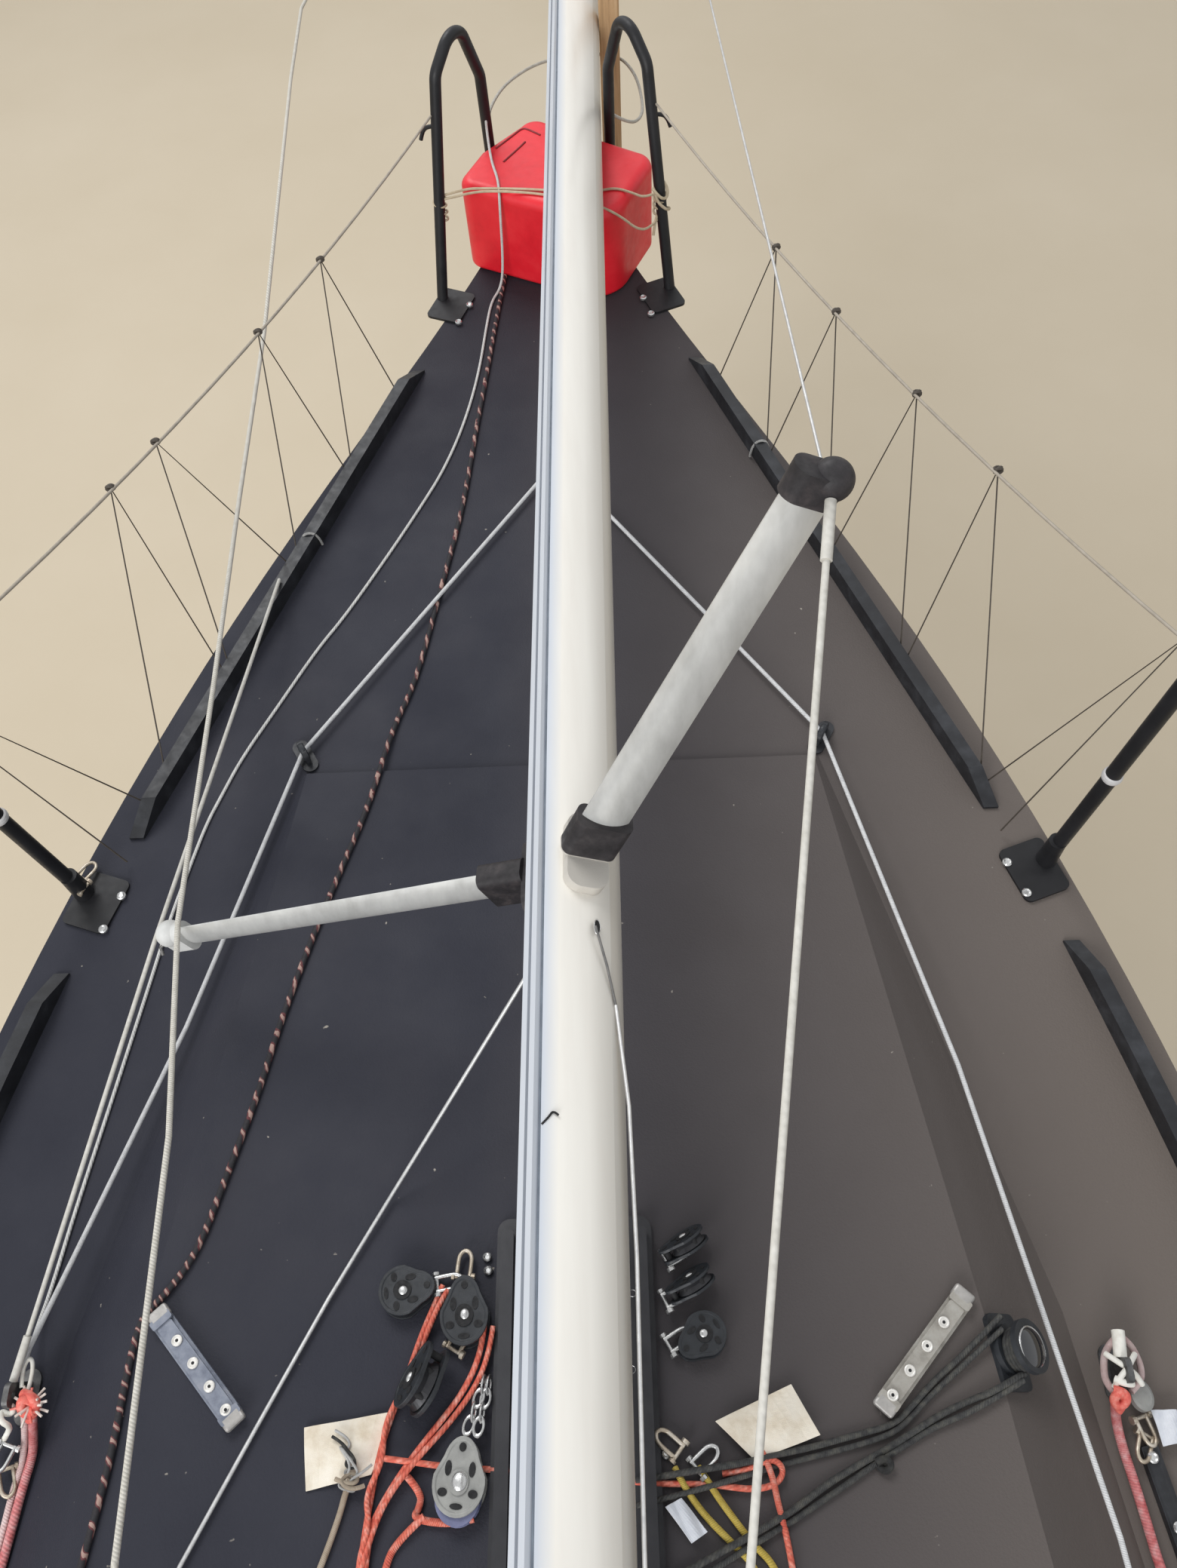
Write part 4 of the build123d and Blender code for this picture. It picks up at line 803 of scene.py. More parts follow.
# each row: where the line meets the rail, its knot on the lifeline, and the rail again
lacing = {
    "starboard": [
        ((362, 2345), (444, 2250, 411), (449, 2125)), ((451, 2105), (529, 2038, 432), (548, 1860)),
        ((552, 1840), (628, 1789, 465), (654, 1588)), ((660, 1566), (713, 1577, 502), (758, 1318)),
        ((764, 1298), (868, 1190, 585), (772, 1200))],
    "port": [
        ((-358, 2352), (-430, 2285, 408), (-443, 2134)),
        ((-449, 2112), (-519, 2062, 429), (-536, 1890)),
        ((-546, 1862), (-643, 1753, 471), (-640, 1612)),
        ((-648, 1600), (-690, 1634, 491), (-732, 1383)),
        ((-755, 1318), (-868, 1190, 585), (-772, 1200))],
}
rail_top = 12
knot_places = []
for side, rows in lacing.items():
    lines(dark_line, [(f"lacing_{side}_{number}", 2.9, [(*fore, rail_top), top, (*aft, rail_top)])
                      for number, (fore, top, aft) in enumerate(rows, 1)])
    knot_places += [laid(*above_all([top])) for fore, top, aft in rows]
spread(knot, "lacing_knot", knot_places)

# %% [markdown]
# ## Screws and bolts
#
# Bolt heads catch the light and tell the eye how big everything is. One is enough to model: a
# short cylinder whose top face is drawn in and raised to a dome, then sunk again for the
# socket. All others are copies of it, pressed onto their plates.

# %% One bolt head and where it is used
def pick_parts(piece, kind, parts, test):
    """Goes into edit mode with the faces or points selected that pass a test."""
    hold(piece)
    bpy.ops.object.mode_set(mode="EDIT")
    bpy.ops.mesh.select_mode(type=kind)
    bpy.ops.mesh.select_all(action="DESELECT")
    bpy.ops.object.mode_set(mode="OBJECT")
    for part in parts:
        part.select = test(part)
    bpy.ops.object.mode_set(mode="EDIT")


def pick_top(piece):
    """Goes into edit mode with the upper face of a piece selected."""
    pick_parts(piece, "FACE", piece.data.polygons, lambda face: face.normal.z > 0.9)


def step_faces(inset, rise):
    """Draws the selected faces in and then raises or sinks them."""
    bpy.ops.mesh.inset(thickness=inset)
    bpy.ops.transform.translate(value=(0, 0, rise))


bolt = rod(18, 0.0062, 0.0036, (0, 0, 0.0012))
pick_top(bolt)
step_faces(0.0016, 0.0014)
step_faces(0.0018, -0.0012)
bpy.ops.object.mode_set(mode="OBJECT")
dress(bolt, finishes["steel"])

base_top, plate_top, side_rail_top = 0.006, 0.004, 0.0155
base_spots = [(-0.773, 1.136), (-0.794, 1.074), (0.773, 1.141), (0.795, 1.083),
              (-0.204, 2.638), (-0.228, 2.58), (0.206, 2.633), (0.222, 2.577)]
for side in (-1, 1):
    for x, y in ((1.112, -0.63), (1.118, -0.70), (1.186, -2.37), (1.186, -2.43)):
        base_spots.append((side * x, y))
bolt_places = [laid(above(x, y, base_top), scale=(1.3, 1.3, 1.3)) for x, y in base_spots]
for x, y in ((0.7975, 0.246), (0.811, 0.165), (0.824, 0.085), (0.836, 0.015)):
    bolt_places.append(laid(above(x, y, side_rail_top), scale=(1.2, 1.2, 1.2)))
for x, y in ((-0.099, 0.508), (-0.097, 0.49), (-0.101, 0.353),
             (0.10, 0.36), (0.14, 0.262), (0.104, 0.455)):
    bolt_places.append(laid(above(x, y, surface_height(x, y) + plate_top), up=(0, roof_rise, 1)))
spread(bolt, "bolt_head", bolt_places)

# %% [markdown]
# ## Rings, hooks and ties round the tubes
#
# Small things sit on the black tubes: a pale ring of tape low on each fore stanchion, a hook on
# the outer leg of each pulpit hoop, and a loop of white line across the rail. A ring is a torus
# stretched along the tube and turned to its lean. The hook is a short bent rod.

# %% Tape rings, hooks and rail ties
pale_tape = finish("tape_pale", [(0.46, 0.45, 0.45), (0.6, 0.59, 0.58)], 40, (0.5, 0.7), grain=900)
tape = ring(0.0128, 0.0032, 24, 8)
dress(resized(tape, (1, 1, 2.2)), pale_tape)
tube_foot, tube_height, tube_out, tape_height = 0.8410, 0.612, 0.034, 0.294
tape_places = []
for side in (-1, 1):
    lean = Vector((side * tube_out, 0, tube_height))
    spot = above(side * tube_foot, 1.145, 0) + lean * (tape_height / tube_height)
    tape_places.append(laid(spot, up=lean))
spread(tape, "tape_ring", tape_places)

for side, name in ((-1, "port"), (1, "starboard")):
    lines(finishes["black_tube"], [(f"pulpit_hook_{name}", 9, [
        (side * x, y, z) for x, y, z in (
            (232, 2765, 365), (252, 2772, 362), (266, 2775, 350), (272, 2772, 332))])],
        straight=False)
for name, x, y in (("port", -509, 1916), ("starboard", 433, 2117)):
    lines(white_rope, [(f"rail_tie_{name}", 5, [
        (x - 20, y, 3), (x - 18, y, 44), (x + 18, y + 6, 44), (x + 20, y + 8, 3)])],
        straight=False)

# %% [markdown]
# ## Shackles
#
# A shackle is a bent bar with a pin across its open end. The bar is a curve in the shape of a
# hairpin, the pin a thin cylinder with a wider head, and the two are joined into one piece once
# the curve has been turned into a mesh.

# %% Model one shackle
aged_steel = finish(
    "steel_aged", [(0.3, 0.24, 0.18), (0.46, 0.4, 0.32), (0.58, 0.54, 0.48)], 70, (0.35, 0.55),
    metal=0.8, grain=1200, bump=0.3)
shackle = rope("shackle", metres([
    (-9, 0, 0), (-9.5, 18, 0), (-8.5, 32, 0), (0, 39, 0), (8.5, 32, 0), (9.5, 18, 0), (9, 0, 0)]),
    0.006)
for length, radius, shift in ((0.030, 0.0028, 0), (0.005, 0.0058, 0.014), (0.004, 0.0048, -0.014)):
    bpy.ops.mesh.primitive_cylinder_add(vertices=12, radius=radius, depth=length,
                                        location=(shift, 0.002, 0),
                                        rotation=(0, math.radians(90), 0))
    bar = bpy.context.object
    hold(shackle)
    bar.select_set(True)
    bpy.ops.object.join()
shackle.parent = None
dress(shackle, finishes["steel"])
dull_shackle = copy_to(shackle, "shackle_dull", Matrix.Identity(4))
dull_shackle.parent = None
dress(dull_shackle, aged_steel)
print("shackle", [round(side, 3) for side in shackle.dimensions])

# %% [markdown]
# ## Turning blocks
#
# Beside the mast foot lie the blocks that lead the halyards aft. Each has two cheeks, a grooved
# wheel between them and a rivet through the middle, and the cheeks' openings are filled with
# dark plugs of painted shade. The cheek starts as a disc; its front half is drawn out and narrowed
# to the head.

# %% Model one round block
def joined(name, pieces):
    """Joins pieces into the first one, which keeps the finish of each."""
    hold(pieces[0])
    for piece in pieces[1:]:
        piece.select_set(True)
    bpy.ops.object.join()
    pieces[0].name = name
    return pieces[0]


# near-black: the real black of the hubs and the scratch, and painted shade inside the block
# openings, the screw sockets and the exit slot
black_and_shade = finish(
    "opening_dark", [(0.004, 0.004, 0.005), (0.008, 0.008, 0.009)], 50, (0.7, 0.9), grain=500)
grey_cheek = finish(
    "cheek_grey", [(0.23, 0.23, 0.22), (0.33, 0.33, 0.31)], 45, (0.4, 0.6), metal=0.2, grain=900)
violet_wheel = finish(
    "wheel_violet", [(0.1, 0.11, 0.2), (0.17, 0.18, 0.3)], 60, (0.35, 0.5), grain=700)
cheek_gap, cheek_thickness, half_wheel = 0.021, 0.005, 0.0075
openings = ((0.015, 0.013, 0.0042, 0.0075), (-0.015, 0.013, 0.0042, 0.0075),
            (0.019, -0.010, 0.006, 0.0042), (-0.019, -0.010, 0.006, 0.0042),
            (0.0, -0.0225, 0.008, 0.003), (0.0, 0.034, 0.0045, 0.0045))


def round_block(name, cheek_finish, wheel_finish, hub_finish, wheel_drop=0.0, rivet=0.0062):
    """A block 66 mm wide and 78 mm long that lies flat, with its head along y."""
    made = []
    for low in (0.0, cheek_gap):
        cheek = rod(32, 0.033, cheek_thickness, (0, 0, low + cheek_thickness / 2))
        bpy.ops.object.transform_apply()
        pick_parts(cheek, "VERT", cheek.data.vertices, lambda point: point.co.y > 0.012)
        bpy.ops.transform.resize(value=(0.72, 1, 1), center_override=(0, 0, 0))
        bpy.ops.transform.translate(value=(0, 0.012, 0))
        bpy.ops.object.mode_set(mode="OBJECT")
        pick_parts(cheek, "FACE", cheek.data.polygons, lambda face: abs(face.normal.z) > 0.9)
        bpy.ops.mesh.inset(thickness=0.004)
        bpy.ops.mesh.inset(thickness=0.001, depth=-0.0008)
        bpy.ops.object.mode_set(mode="OBJECT")
        made.append(dress(softened(cheek, 0.0009), cheek_finish))
    for low, wide, narrow in ((0.006, 0.0285, 0.0235), (0.0135, 0.0235, 0.0285)):
        wheel = fresh(bpy.ops.mesh.primitive_cone_add, vertices=32, radius1=wide, radius2=narrow,
                      depth=half_wheel, location=(0, -wheel_drop, low + half_wheel / 2))
        made.append(dress(wheel, wheel_finish))
    # the openings are dark plugs: painted shade where the cheeks are open
    for x, y, across, along in openings:
        gap = rod(14, 1.0, 0.0262, (x, y, 0.0131))
        gap.scale = (across, along, 1)
        made.append(dress(gap, black_and_shade))
    hub = rod(24, 0.0125, 0.0272, (0, 0, 0.0136))
    made.append(dress(hub, hub_finish))
    dome = fresh(bpy.ops.mesh.primitive_uv_sphere_add, segments=20, ring_count=10, radius=rivet,
                 location=(0.001, 0.001, 0.0268))
    dome.scale = (1, 1, 0.5)
    made.append(dress(dome, finishes["steel"]))
    return joined(name, made)


black_block = round_block("block_pattern", finishes["block_plastic"], finishes["black_anodised"],
                          black_and_shade)
grey_block = round_block("block_grey_pattern", grey_cheek, violet_wheel, grey_cheek, 0.0125, 0.0098)
print("round block", [round(side, 3) for side in black_block.dimensions])

# %% [markdown]
# The blocks take the places of the plain ones. Two lie flat on the port side, a third stands on
# its edge, and a large grey one is tied on behind with links. Three smaller ones hang on steel
# pins along the starboard side of the mast step.

# %% Lay out the blocks
roof_up = Vector((0, roof_rise, 1)).normalized()


def on_roof(x, y, lift=0.0):
    """A spot on the coachroof, lifted square to its surface."""
    return above(x, y, surface_height(x, y)) + roof_up * lift


def bearing(degrees):
    """Direction on the roof, measured from starboard towards the bow."""
    turn = math.radians(degrees)
    return Vector((math.cos(turn), math.sin(turn), 0))


leaning_out, on_edge = Vector((-0.5, 0.86, 0.5)), Vector((-0.70, 0.38, 0.5))
# each row: pattern, name, place on the roof, bearing, what points up, and scale
block_rows = [
    (black_block, "block_port_1", (-0.212, 0.462), 10, roof_up, (1, 1, 1)),
    (black_block, "block_port_2", (-0.124, 0.426, 0.006), 92, roof_up, (1.0, 1.15, 1.1)),
    (black_block, "block_port_3", (-0.166, 0.338, 0.026), 62, on_edge, (0.84, 1.12, 1.25)),
    (grey_block, "block_port_4", (-0.122, 0.232), 85, roof_up, (1.02, 1.16, 1.1)),
    (black_block, "block_starboard_1", (0.186, 0.508, 0.018), 208, leaning_out, (0.62, 0.9, 0.8)),
    (black_block, "block_starboard_2", (0.192, 0.456, 0.018), 208, leaning_out, (0.62, 0.9, 0.8)),
    (black_block, "block_starboard_3", (0.198, 0.398, 0.002), 215, roof_up, (0.88, 0.9, 0.9)),
]
for pattern, name, spot, turn, up, scale in block_rows:
    copy_to(pattern, name, laid(on_roof(*spot), bearing(turn), up, scale))
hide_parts("turning_blocks_port")
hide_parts("turning_blocks_starboard")
for piece in (black_block, grey_block):
    bpy.data.objects.remove(piece)

shackle_rows = [(-0.131, 0.478, 0.012, 85, dull_shackle), (-0.168, 0.470, 0.014, 10, shackle),
                (-0.140, 0.386, 0.014, 60, dull_shackle), (0.150, 0.494, 0.014, 28, shackle),
                (0.146, 0.441, 0.014, 25, shackle), (0.148, 0.386, 0.012, 30, shackle),
                (0.158, 0.262, 0.008, 140, dull_shackle), (0.176, 0.243, 0.008, 40, shackle)]
for number, (x, y, lift, turn, pattern) in enumerate(shackle_rows, 1):
    copy_to(pattern, f"shackle_foot_{number}", laid(on_roof(x, y, lift), bearing(turn), roof_up))
rail_shackles = [(-0.846, 1.166, 0.022, 60, dull_shackle),
                 (-0.826, 1.140, 0.034, 160, dull_shackle),
                 (-0.777, 0.291, 0.022, 250, shackle), (-0.781, 0.262, 0.012, 290, dull_shackle),
                 (0.792, 0.296, 0.016, 285, dull_shackle), (0.797, 0.274, 0.012, 240, dull_shackle)]
for number, (x, y, z, turn, pattern) in enumerate(rail_shackles, 1):
    copy_to(pattern, f"shackle_rail_{number}", laid(above(x, y, z), bearing(turn), (0.3, 0.1, 1)))

# %% [markdown]
# ## Chain links, ropes and tags at the mast foot
#
# The grey block hangs on two short runs of links. A link is a torus drawn out along one axis,
# and each link in a run is turned on its side against the next. The orange and yellow ropes
# come down from the mast, pass round the blocks and lead aft over the coachroof.

# %% Links
link = ring(0.0062, 0.0019, 18, 8)
dress(resized(link, (1, 1.75, 1)), finishes["steel"])
link_places = []
for start, end in (((-0.094, 0.352), (-0.116, 0.288)), ((-0.088, 0.352), (-0.102, 0.286))):
    first, last = on_roof(*start, 0.012), on_roof(*end, 0.022)
    for number in range(4):
        spot = first.lerp(last, (number + 0.5) / 4)
        link_places.append(laid(spot, last - first, roof_up if number % 2 else (1, 0, 0.3)))
spread(link, "chain_link", link_places)

# %% Ropes that lie on the coachroof
orange_rope = rope_finish(
    "rope_orange", [(0.56, 0.08, 0.05), (0.74, 0.17, 0.11), (0.86, 0.42, 0.34)], 0.6, pitch=0.03)
yellow_rope = rope_finish("rope_yellow", [(0.5, 0.36, 0.05), (0.68, 0.52, 0.12)], 0.5, pitch=0.014)
black_rope = rope_finish(
    "rope_black", [(0.018, 0.018, 0.02), (0.05, 0.05, 0.048), (0.1, 0.095, 0.08)], 0.8,
    pitch=0.012)
red_rope = rope_finish(
    "rope_red", [(0.5, 0.1, 0.1), (0.66, 0.22, 0.22), (0.74, 0.42, 0.41)], 1.1, pitch=0.036)
tan_rope = rope_finish("rope_tan", [(0.36, 0.28, 0.2), (0.52, 0.44, 0.34)], 0.4, pitch=0.012)

# each row: name, finish, thickness, and stops with their lift off the roof
lying = [
    ("orange_1", orange_rope, 7.8, [
        (-150, 462, 18), (-160, 445, 22), (-175, 413, 12), (-196, 365, 5), (-218, 312, 5),
        (-230, 267, 5), (-236, 221, 5), (-241, 173, 5), (-250, 50, 5), (-270, -250, 5),
        (-300, -600, 5)]),
    ("orange_2", orange_rope, 7.8, [
        (-98, 420, 18), (-100, 385, 16), (-123, 337, 10), (-158, 296, 9), (-191, 257, 9),
        (-219, 216, 9), (-236, 180, 9), (-236, 50, 5), (-250, -250, 5), (-270, -600, 5)]),
    ("orange_3", orange_rope, 7.5, [
        (-86, 415, 18), (-90, 385, 14), (-106, 345, 9), (-138, 304, 6), (-178, 262, 14),
        (-209, 226, 14), (-228, 190, 12), (-246, 120, 10), (-262, -100, 8), (-290, -500, 6)]),
    ("orange_8", orange_rope, 7.2, [
        (-158, 470, 14), (-172, 440, 8), (-186, 400, 14), (-203, 345, 12), (-226, 300, 10),
        (-222, 258, 16), (-243, 222, 10), (-232, 188, 18), (-246, 150, 8), (-236, 100, 14),
        (-260, -50, 6), (-280, -500, 6)]),
    ("orange_4", orange_rope, 7.5, [
        (-222, 262, 12), (-176, 256, 13), (-151, 253, 6), (-100, 249, 4), (-65, 247, 4),
        (0, 240, 4), (100, 230, 5), (150, 228, 6), (200, 226, 8), (250, 219, 8), (280, 226, 10),
        (288, 243, 12), (272, 254, 12), (240, 240, 10), (210, 238, 6)]),
    ("orange_5", orange_rope, 9, [
        (-196, 246, 6), (-171, 224, 6), (-174, 206, 6), (-180, 198, 8), (-161, 192, 8),
        (-127, 190, 5), (-104, 195, 5)]),
    ("orange_6", orange_rope, 9, [
        (-166, 198, 10), (-198, 173, 6), (-212, 148, 5), (-226, 50, 5), (-232, -200, 5),
        (-240, -600, 5)]),
    ("orange_7", orange_rope, 8, [
        (262, 262, 10), (272, 235, 16), (276, 205, 10), (286, 160, 5), (300, 0, 5)]),
    ("yellow_1", yellow_rope, 8.5, [
        (180, 246, 6), (191, 230, 10), (202, 213, 9), (215, 196, 6), (241, 163, 6), (268, 139, 6),
        (300, 50, 6), (310, -250, 6), (330, -600, 6)]),
    ("yellow_2", yellow_rope, 8.5, [
        (150, 246, 6), (159, 228, 10), (172, 209, 8), (186, 192, 6), (217, 163, 6), (244, 139, 6),
        (272, 50, 6), (285, -250, 6), (300, -600, 6)]),
    ("control_1", black_rope, 8, [
        (596, 412, 26), (534, 365, 10), (496, 340, 5), (458, 307, 5), (435, 289, 5), (389, 279, 5),
        (330, 266, 6), (285, 258, 12), (248, 250, 14), (183, 242, 16), (100, 232, 6)]),
    ("control_2", black_rope, 7, [
        (594, 396, 26), (533, 354, 10), (485, 320, 5), (457, 296, 5), (432, 279, 5), (387, 267, 5),
        (333, 256, 5), (292, 248, 6), (251, 238, 10), (182, 221, 14), (100, 205, 6)]),
    ("control_3", black_rope, 8.5, [
        (614, 342, 30), (567, 323, 12), (541, 316, 6), (497, 300, 6), (461, 282, 6), (422, 262, 6),
        (383, 245, 6), (341, 225, 6), (298, 199, 8), (265, 183, 10), (205, 156, 14),
        (100, 110, 6)]),
    ("control_4", black_rope, 7.5, [
        (610, 334, 28), (547, 305, 10), (487, 286, 5), (452, 269, 5), (408, 248, 5), (365, 224, 5),
        (327, 204, 5), (289, 184, 6), (248, 165, 8), (186, 135, 12), (100, 90, 6)]),
    ("control_knot", black_rope, 9, [
        (404, 246, 12), (414, 252, 14), (424, 244, 12), (416, 236, 8), (406, 242, 6), (414, 250, 6),
        (422, 238, 6)]),
    ("tan_1", tan_rope, 8, [
        (-262, 240, 14), (-268, 226, 10), (-273, 205, 6), (-281, 178, 6), (-291, 148, 6),
        (-303, 119, 6), (-320, 20, 6), (-340, -300, 6)]),
    ("tangle_1", white_rope, 3.5, [
        (-289, 295, 12), (-264, 284, 14), (-274, 268, 12), (-254, 256, 16), (-277, 246, 12),
        (-248, 242, 18), (-267, 264, 16), (-285, 281, 12), (-258, 250, 18), (-284, 232, 12),
        (-251, 224, 14), (-266, 236, 18), (-246, 246, 20), (-236, 255, 16)]),
    ("tangle_2", tan_rope, 5.5, [
        (-282, 240, 14), (-262, 232, 20), (-250, 238, 18), (-262, 248, 14), (-276, 236, 18),
        (-258, 226, 20), (-244, 232, 14)]),
    ("tangle_3", black_rope, 4, [
        (-292, 288, 12), (-276, 280, 15), (-266, 266, 13), (-272, 254, 16), (-256, 250, 14),
        (-262, 268, 16), (-278, 276, 12)]),
]
for name, material, thickness, stops in lying:
    radius = thickness / 1000 / 2
    spots = [on_roof(x, y, max(lift, radius)) for x, y, lift in metres(stops)]
    dress(rope(f"rope_{name}", spots, thickness / 1000), material)
print("ropes at the mast foot:", len(lying))

# %% [markdown]
# A bare tag of sailcloth lies on either side, and two small stiff labels hang on the starboard
# lines. A tag is a grid that is bent a little, so its corners lift off the roof, and given a
# thickness with softened edges. None of them carries any writing.

# %% Tags and labels
tag_cloth = finish(
    "tag_cloth", [(0.68, 0.58, 0.44), (0.82, 0.74, 0.61), (0.88, 0.82, 0.71)], 30, (0.75, 0.9),
    grain=1300, bump=0.5)
label_cloth = finish(
    "label_white", [(0.6, 0.62, 0.68), (0.74, 0.76, 0.8)], 60, (0.4, 0.6), grain=900)
ripple, cloth_gap = 0.0015, 0.0015


def tag(name, corners, material, lift, bow):
    """A thin sheet with four given corners, bowed up in the middle, on the coachroof."""
    sheet = fresh(bpy.ops.mesh.primitive_grid_add, x_subdivisions=10, y_subdivisions=10, size=1)
    sheet.name = name
    a, b, c, d = (Vector(corner) for corner in metres(corners))
    for point in sheet.data.vertices:
        u, v = point.co.x + 0.5, point.co.y + 0.5
        spot = a.lerp(b, u).lerp(d.lerp(c, u), v)
        dome = bow * math.sin(math.pi * u) * math.sin(math.pi * v)
        wave = ripple * math.sin(9 * u + 4 * v)
        point.co = on_roof(spot.x, spot.y, lift + dome + wave + cloth_gap)
    thick = sheet.modifiers.new("thickness", "SOLIDIFY")
    thick.thickness = 0.0016
    bpy.ops.object.modifier_apply(modifier="thickness")
    settle(dress(softened(sheet, 0.0006), material))
    print(name, [round(side, 3) for side in sheet.dimensions])


tag("tag_port", [(-332, 300), (-212, 317), (-238, 245), (-321, 228)], tag_cloth, 0.002, 0.004)
tag("tag_starboard", [(205, 296), (307, 337), (338, 278), (252, 251)], tag_cloth, 0.010, 0.004)
tag("label_rail", [(806, 300), (840, 300), (846, 262), (812, 256)], label_cloth, 0.020, 0.002)
tag("label_small", [(136, 203), (156, 212), (187, 176), (166, 164)], label_cloth, 0.010, 0.002)

# %% [markdown]
# ## Lines at the two chainplates
#
# On both sides a red and white rope is made fast to the chainplate and leads aft along the
# rail. Its end is frayed on the port side: a tuft of short, thin yarns that point every way.
# A fixed list of angles keeps the tuft the same on every run.

# %% Chainplate ropes and the frayed end
pink_rope = rope_finish("rope_pink", [(0.66, 0.44, 0.42), (0.82, 0.66, 0.64)], 1.1, pitch=0.03)
pale_rope = finish(
    "rope_pale", [(0.66, 0.62, 0.54), (0.8, 0.78, 0.71), (0.88, 0.86, 0.8)], 60, (0.6, 0.8),
    grain=1500)
knot_red = finish(
    "knot_red", [(0.6, 0.07, 0.06), (0.78, 0.16, 0.12), (0.86, 0.34, 0.28)], 110, (0.6, 0.8),
    grain=1500)
chainplate_rows = [
    ("rope_red_port_1", red_rope, 12.5, [
        (-744, 335, 45), (-748, 318, 26), (-749, 300, 14), (-747, 277, 8), (-753, 240, 8),
        (-759, 178, 8), (-765, 120, 8), (-830, -150, 8), (-1000, -800, 8)]),
    ("rope_red_port_2", pink_rope, 9.5, [
        (-757, 330, 40), (-760, 312, 22), (-761, 290, 10), (-761, 265, 6), (-767, 236, 6),
        (-771, 179, 6), (-780, 100, 6), (-850, -150, 6), (-1020, -800, 6)]),
    ("frayed_knot", knot_red, 13.5, [
        (-756, 352, 56), (-738, 348, 62), (-732, 334, 52), (-744, 324, 46), (-757, 332, 52),
        (-752, 347, 64), (-737, 341, 52), (-742, 330, 40), (-752, 320, 30)]),
    ("eye_port", pale_rope, 6, [
        (-762, 360, 50), (-765, 380, 52), (-760, 398, 52), (-752, 394, 52), (-749, 374, 52),
        (-752, 356, 50)]),
    ("wrap_port", pale_rope, 8, [
        (-786, 350, 44), (-776, 342, 58), (-766, 334, 50), (-776, 326, 40), (-790, 332, 40),
        (-782, 318, 52), (-770, 312, 44), (-780, 302, 30), (-792, 290, 16)]),
    ("rope_red_starboard", red_rope, 13.5, [
        (756, 318, 40), (757, 306, 28), (759, 290, 14), (762, 258, 9), (768, 219, 9), (774, 165, 9),
        (778, 120, 9), (820, -100, 9), (1000, -800, 9)]),
    ("knot_starboard", knot_red, 12.5, [
        (752, 327, 50), (766, 324, 54), (768, 312, 46), (756, 306, 40), (749, 316, 48),
        (760, 326, 56), (769, 316, 44), (758, 302, 32)]),
    ("rope_end_starboard", pale_rope, 18.5, [
        (776, 400, 46), (774, 386, 48), (771, 366, 48)]),
    ("loop_starboard_1", pink_rope, 10, [
        (780, 395, 40), (768, 388, 40), (753, 372, 40), (748, 354, 40), (747, 336, 40),
        (755, 324, 42)]),
    ("loop_starboard_2", pink_rope, 9.5, [
        (780, 394, 40), (791, 384, 40), (797, 367, 40), (799, 352, 40), (795, 337, 40),
        (778, 325, 42)]),
    ("strap_starboard_1", pale_rope, 8, [
        (752, 372, 46), (762, 362, 56), (774, 352, 60), (785, 344, 56), (794, 333, 44)]),
    ("strap_starboard_2", pale_rope, 8, [
        (792, 370, 46), (782, 362, 58), (772, 352, 64), (762, 342, 58), (755, 330, 46)]),
    ("strap_starboard_3", pale_rope, 10.5, [
        (756, 340, 52), (766, 334, 58), (778, 334, 54)]),
]
for name, material, thickness, stops in chainplate_rows:
    dress(rope(name, above_all(stops), thickness / 1000), material)
# each pair: the way round and the rise of one yarn, in radians
tuft = [(0.2, 0.5), (0.9, 0.3), (1.5, 0.7), (2.1, 0.2), (2.7, 0.6), (3.3, 0.4), (3.9, 0.8),
        (4.5, 0.3), (5.1, 0.6), (5.7, 0.5), (0.5, 1.0), (1.8, 1.1), (6.0, 0.2), (4.2, 1.1),
        (5.4, 0.95), (0.0, 0.8), (0.6, 0.5)]
tuft_spot, droop = above(-0.744, 0.337, 0.052), Vector((0, 0, -0.004))
bristle = finish("yarn_pale", [(0.66, 0.55, 0.48), (0.84, 0.76, 0.7)], 80, (0.7, 0.9), grain=1500)
for number, (turn, rise) in enumerate(tuft, 1):
    way = Vector((math.cos(turn) * math.cos(rise), math.sin(turn) * math.cos(rise),
                  math.sin(rise) * 0.6))
    yarn = rope(f"yarn_{number}",
                [tuft_spot, tuft_spot + way * 0.015, tuft_spot + way * 0.029 + droop], 0.0036)
    dress(yarn, bristle if number % 3 else knot_red)
print("ropes at the chainplates:", len(chainplate_rows))

# %% [markdown]
# Two more fittings sit aft of the starboard chainplate: a flat grey disc that lies against the
# knot, and a black rail with bolts that leads the rope aft. The disc is a short cylinder with
# its rim drawn in, the rail a long box with softened edges.

# %% Disc and rail behind the starboard chainplate
disc = rod(28, 0.0185, 0.008)
pick_top(disc)
step_faces(0.004, 0.0015)
bpy.ops.object.mode_set(mode="OBJECT")
disc.name = "disc_starboard"
dress(disc, grey_cheek)
settle(disc, laid(above(0.794, 0.320, 0.030), (0, 1, 0), (0.25, 0.15, 1), (0.9, 1.1, 1)))


def box_of(size):
    """A box of a given size, with that size already in its mesh."""
    box = fresh(bpy.ops.mesh.primitive_cube_add, size=1)
    box.scale = size
    bpy.ops.object.transform_apply()
    return box


side_rail = box_of((0.024, 0.26, 0.016))
side_rail.name = "side_rail_starboard"
pick_top(side_rail)
step_faces(0.005, -0.003)
bpy.ops.object.mode_set(mode="OBJECT")
dress(softened(side_rail, 0.0015), finishes["black_rail"])
rail_way = Vector((-0.16, 1, 0)).normalized()
settle(side_rail, laid(above(0.8165, 0.132, 0.008), rail_way))
print("rail", [round(side, 3) for side in side_rail.dimensions])

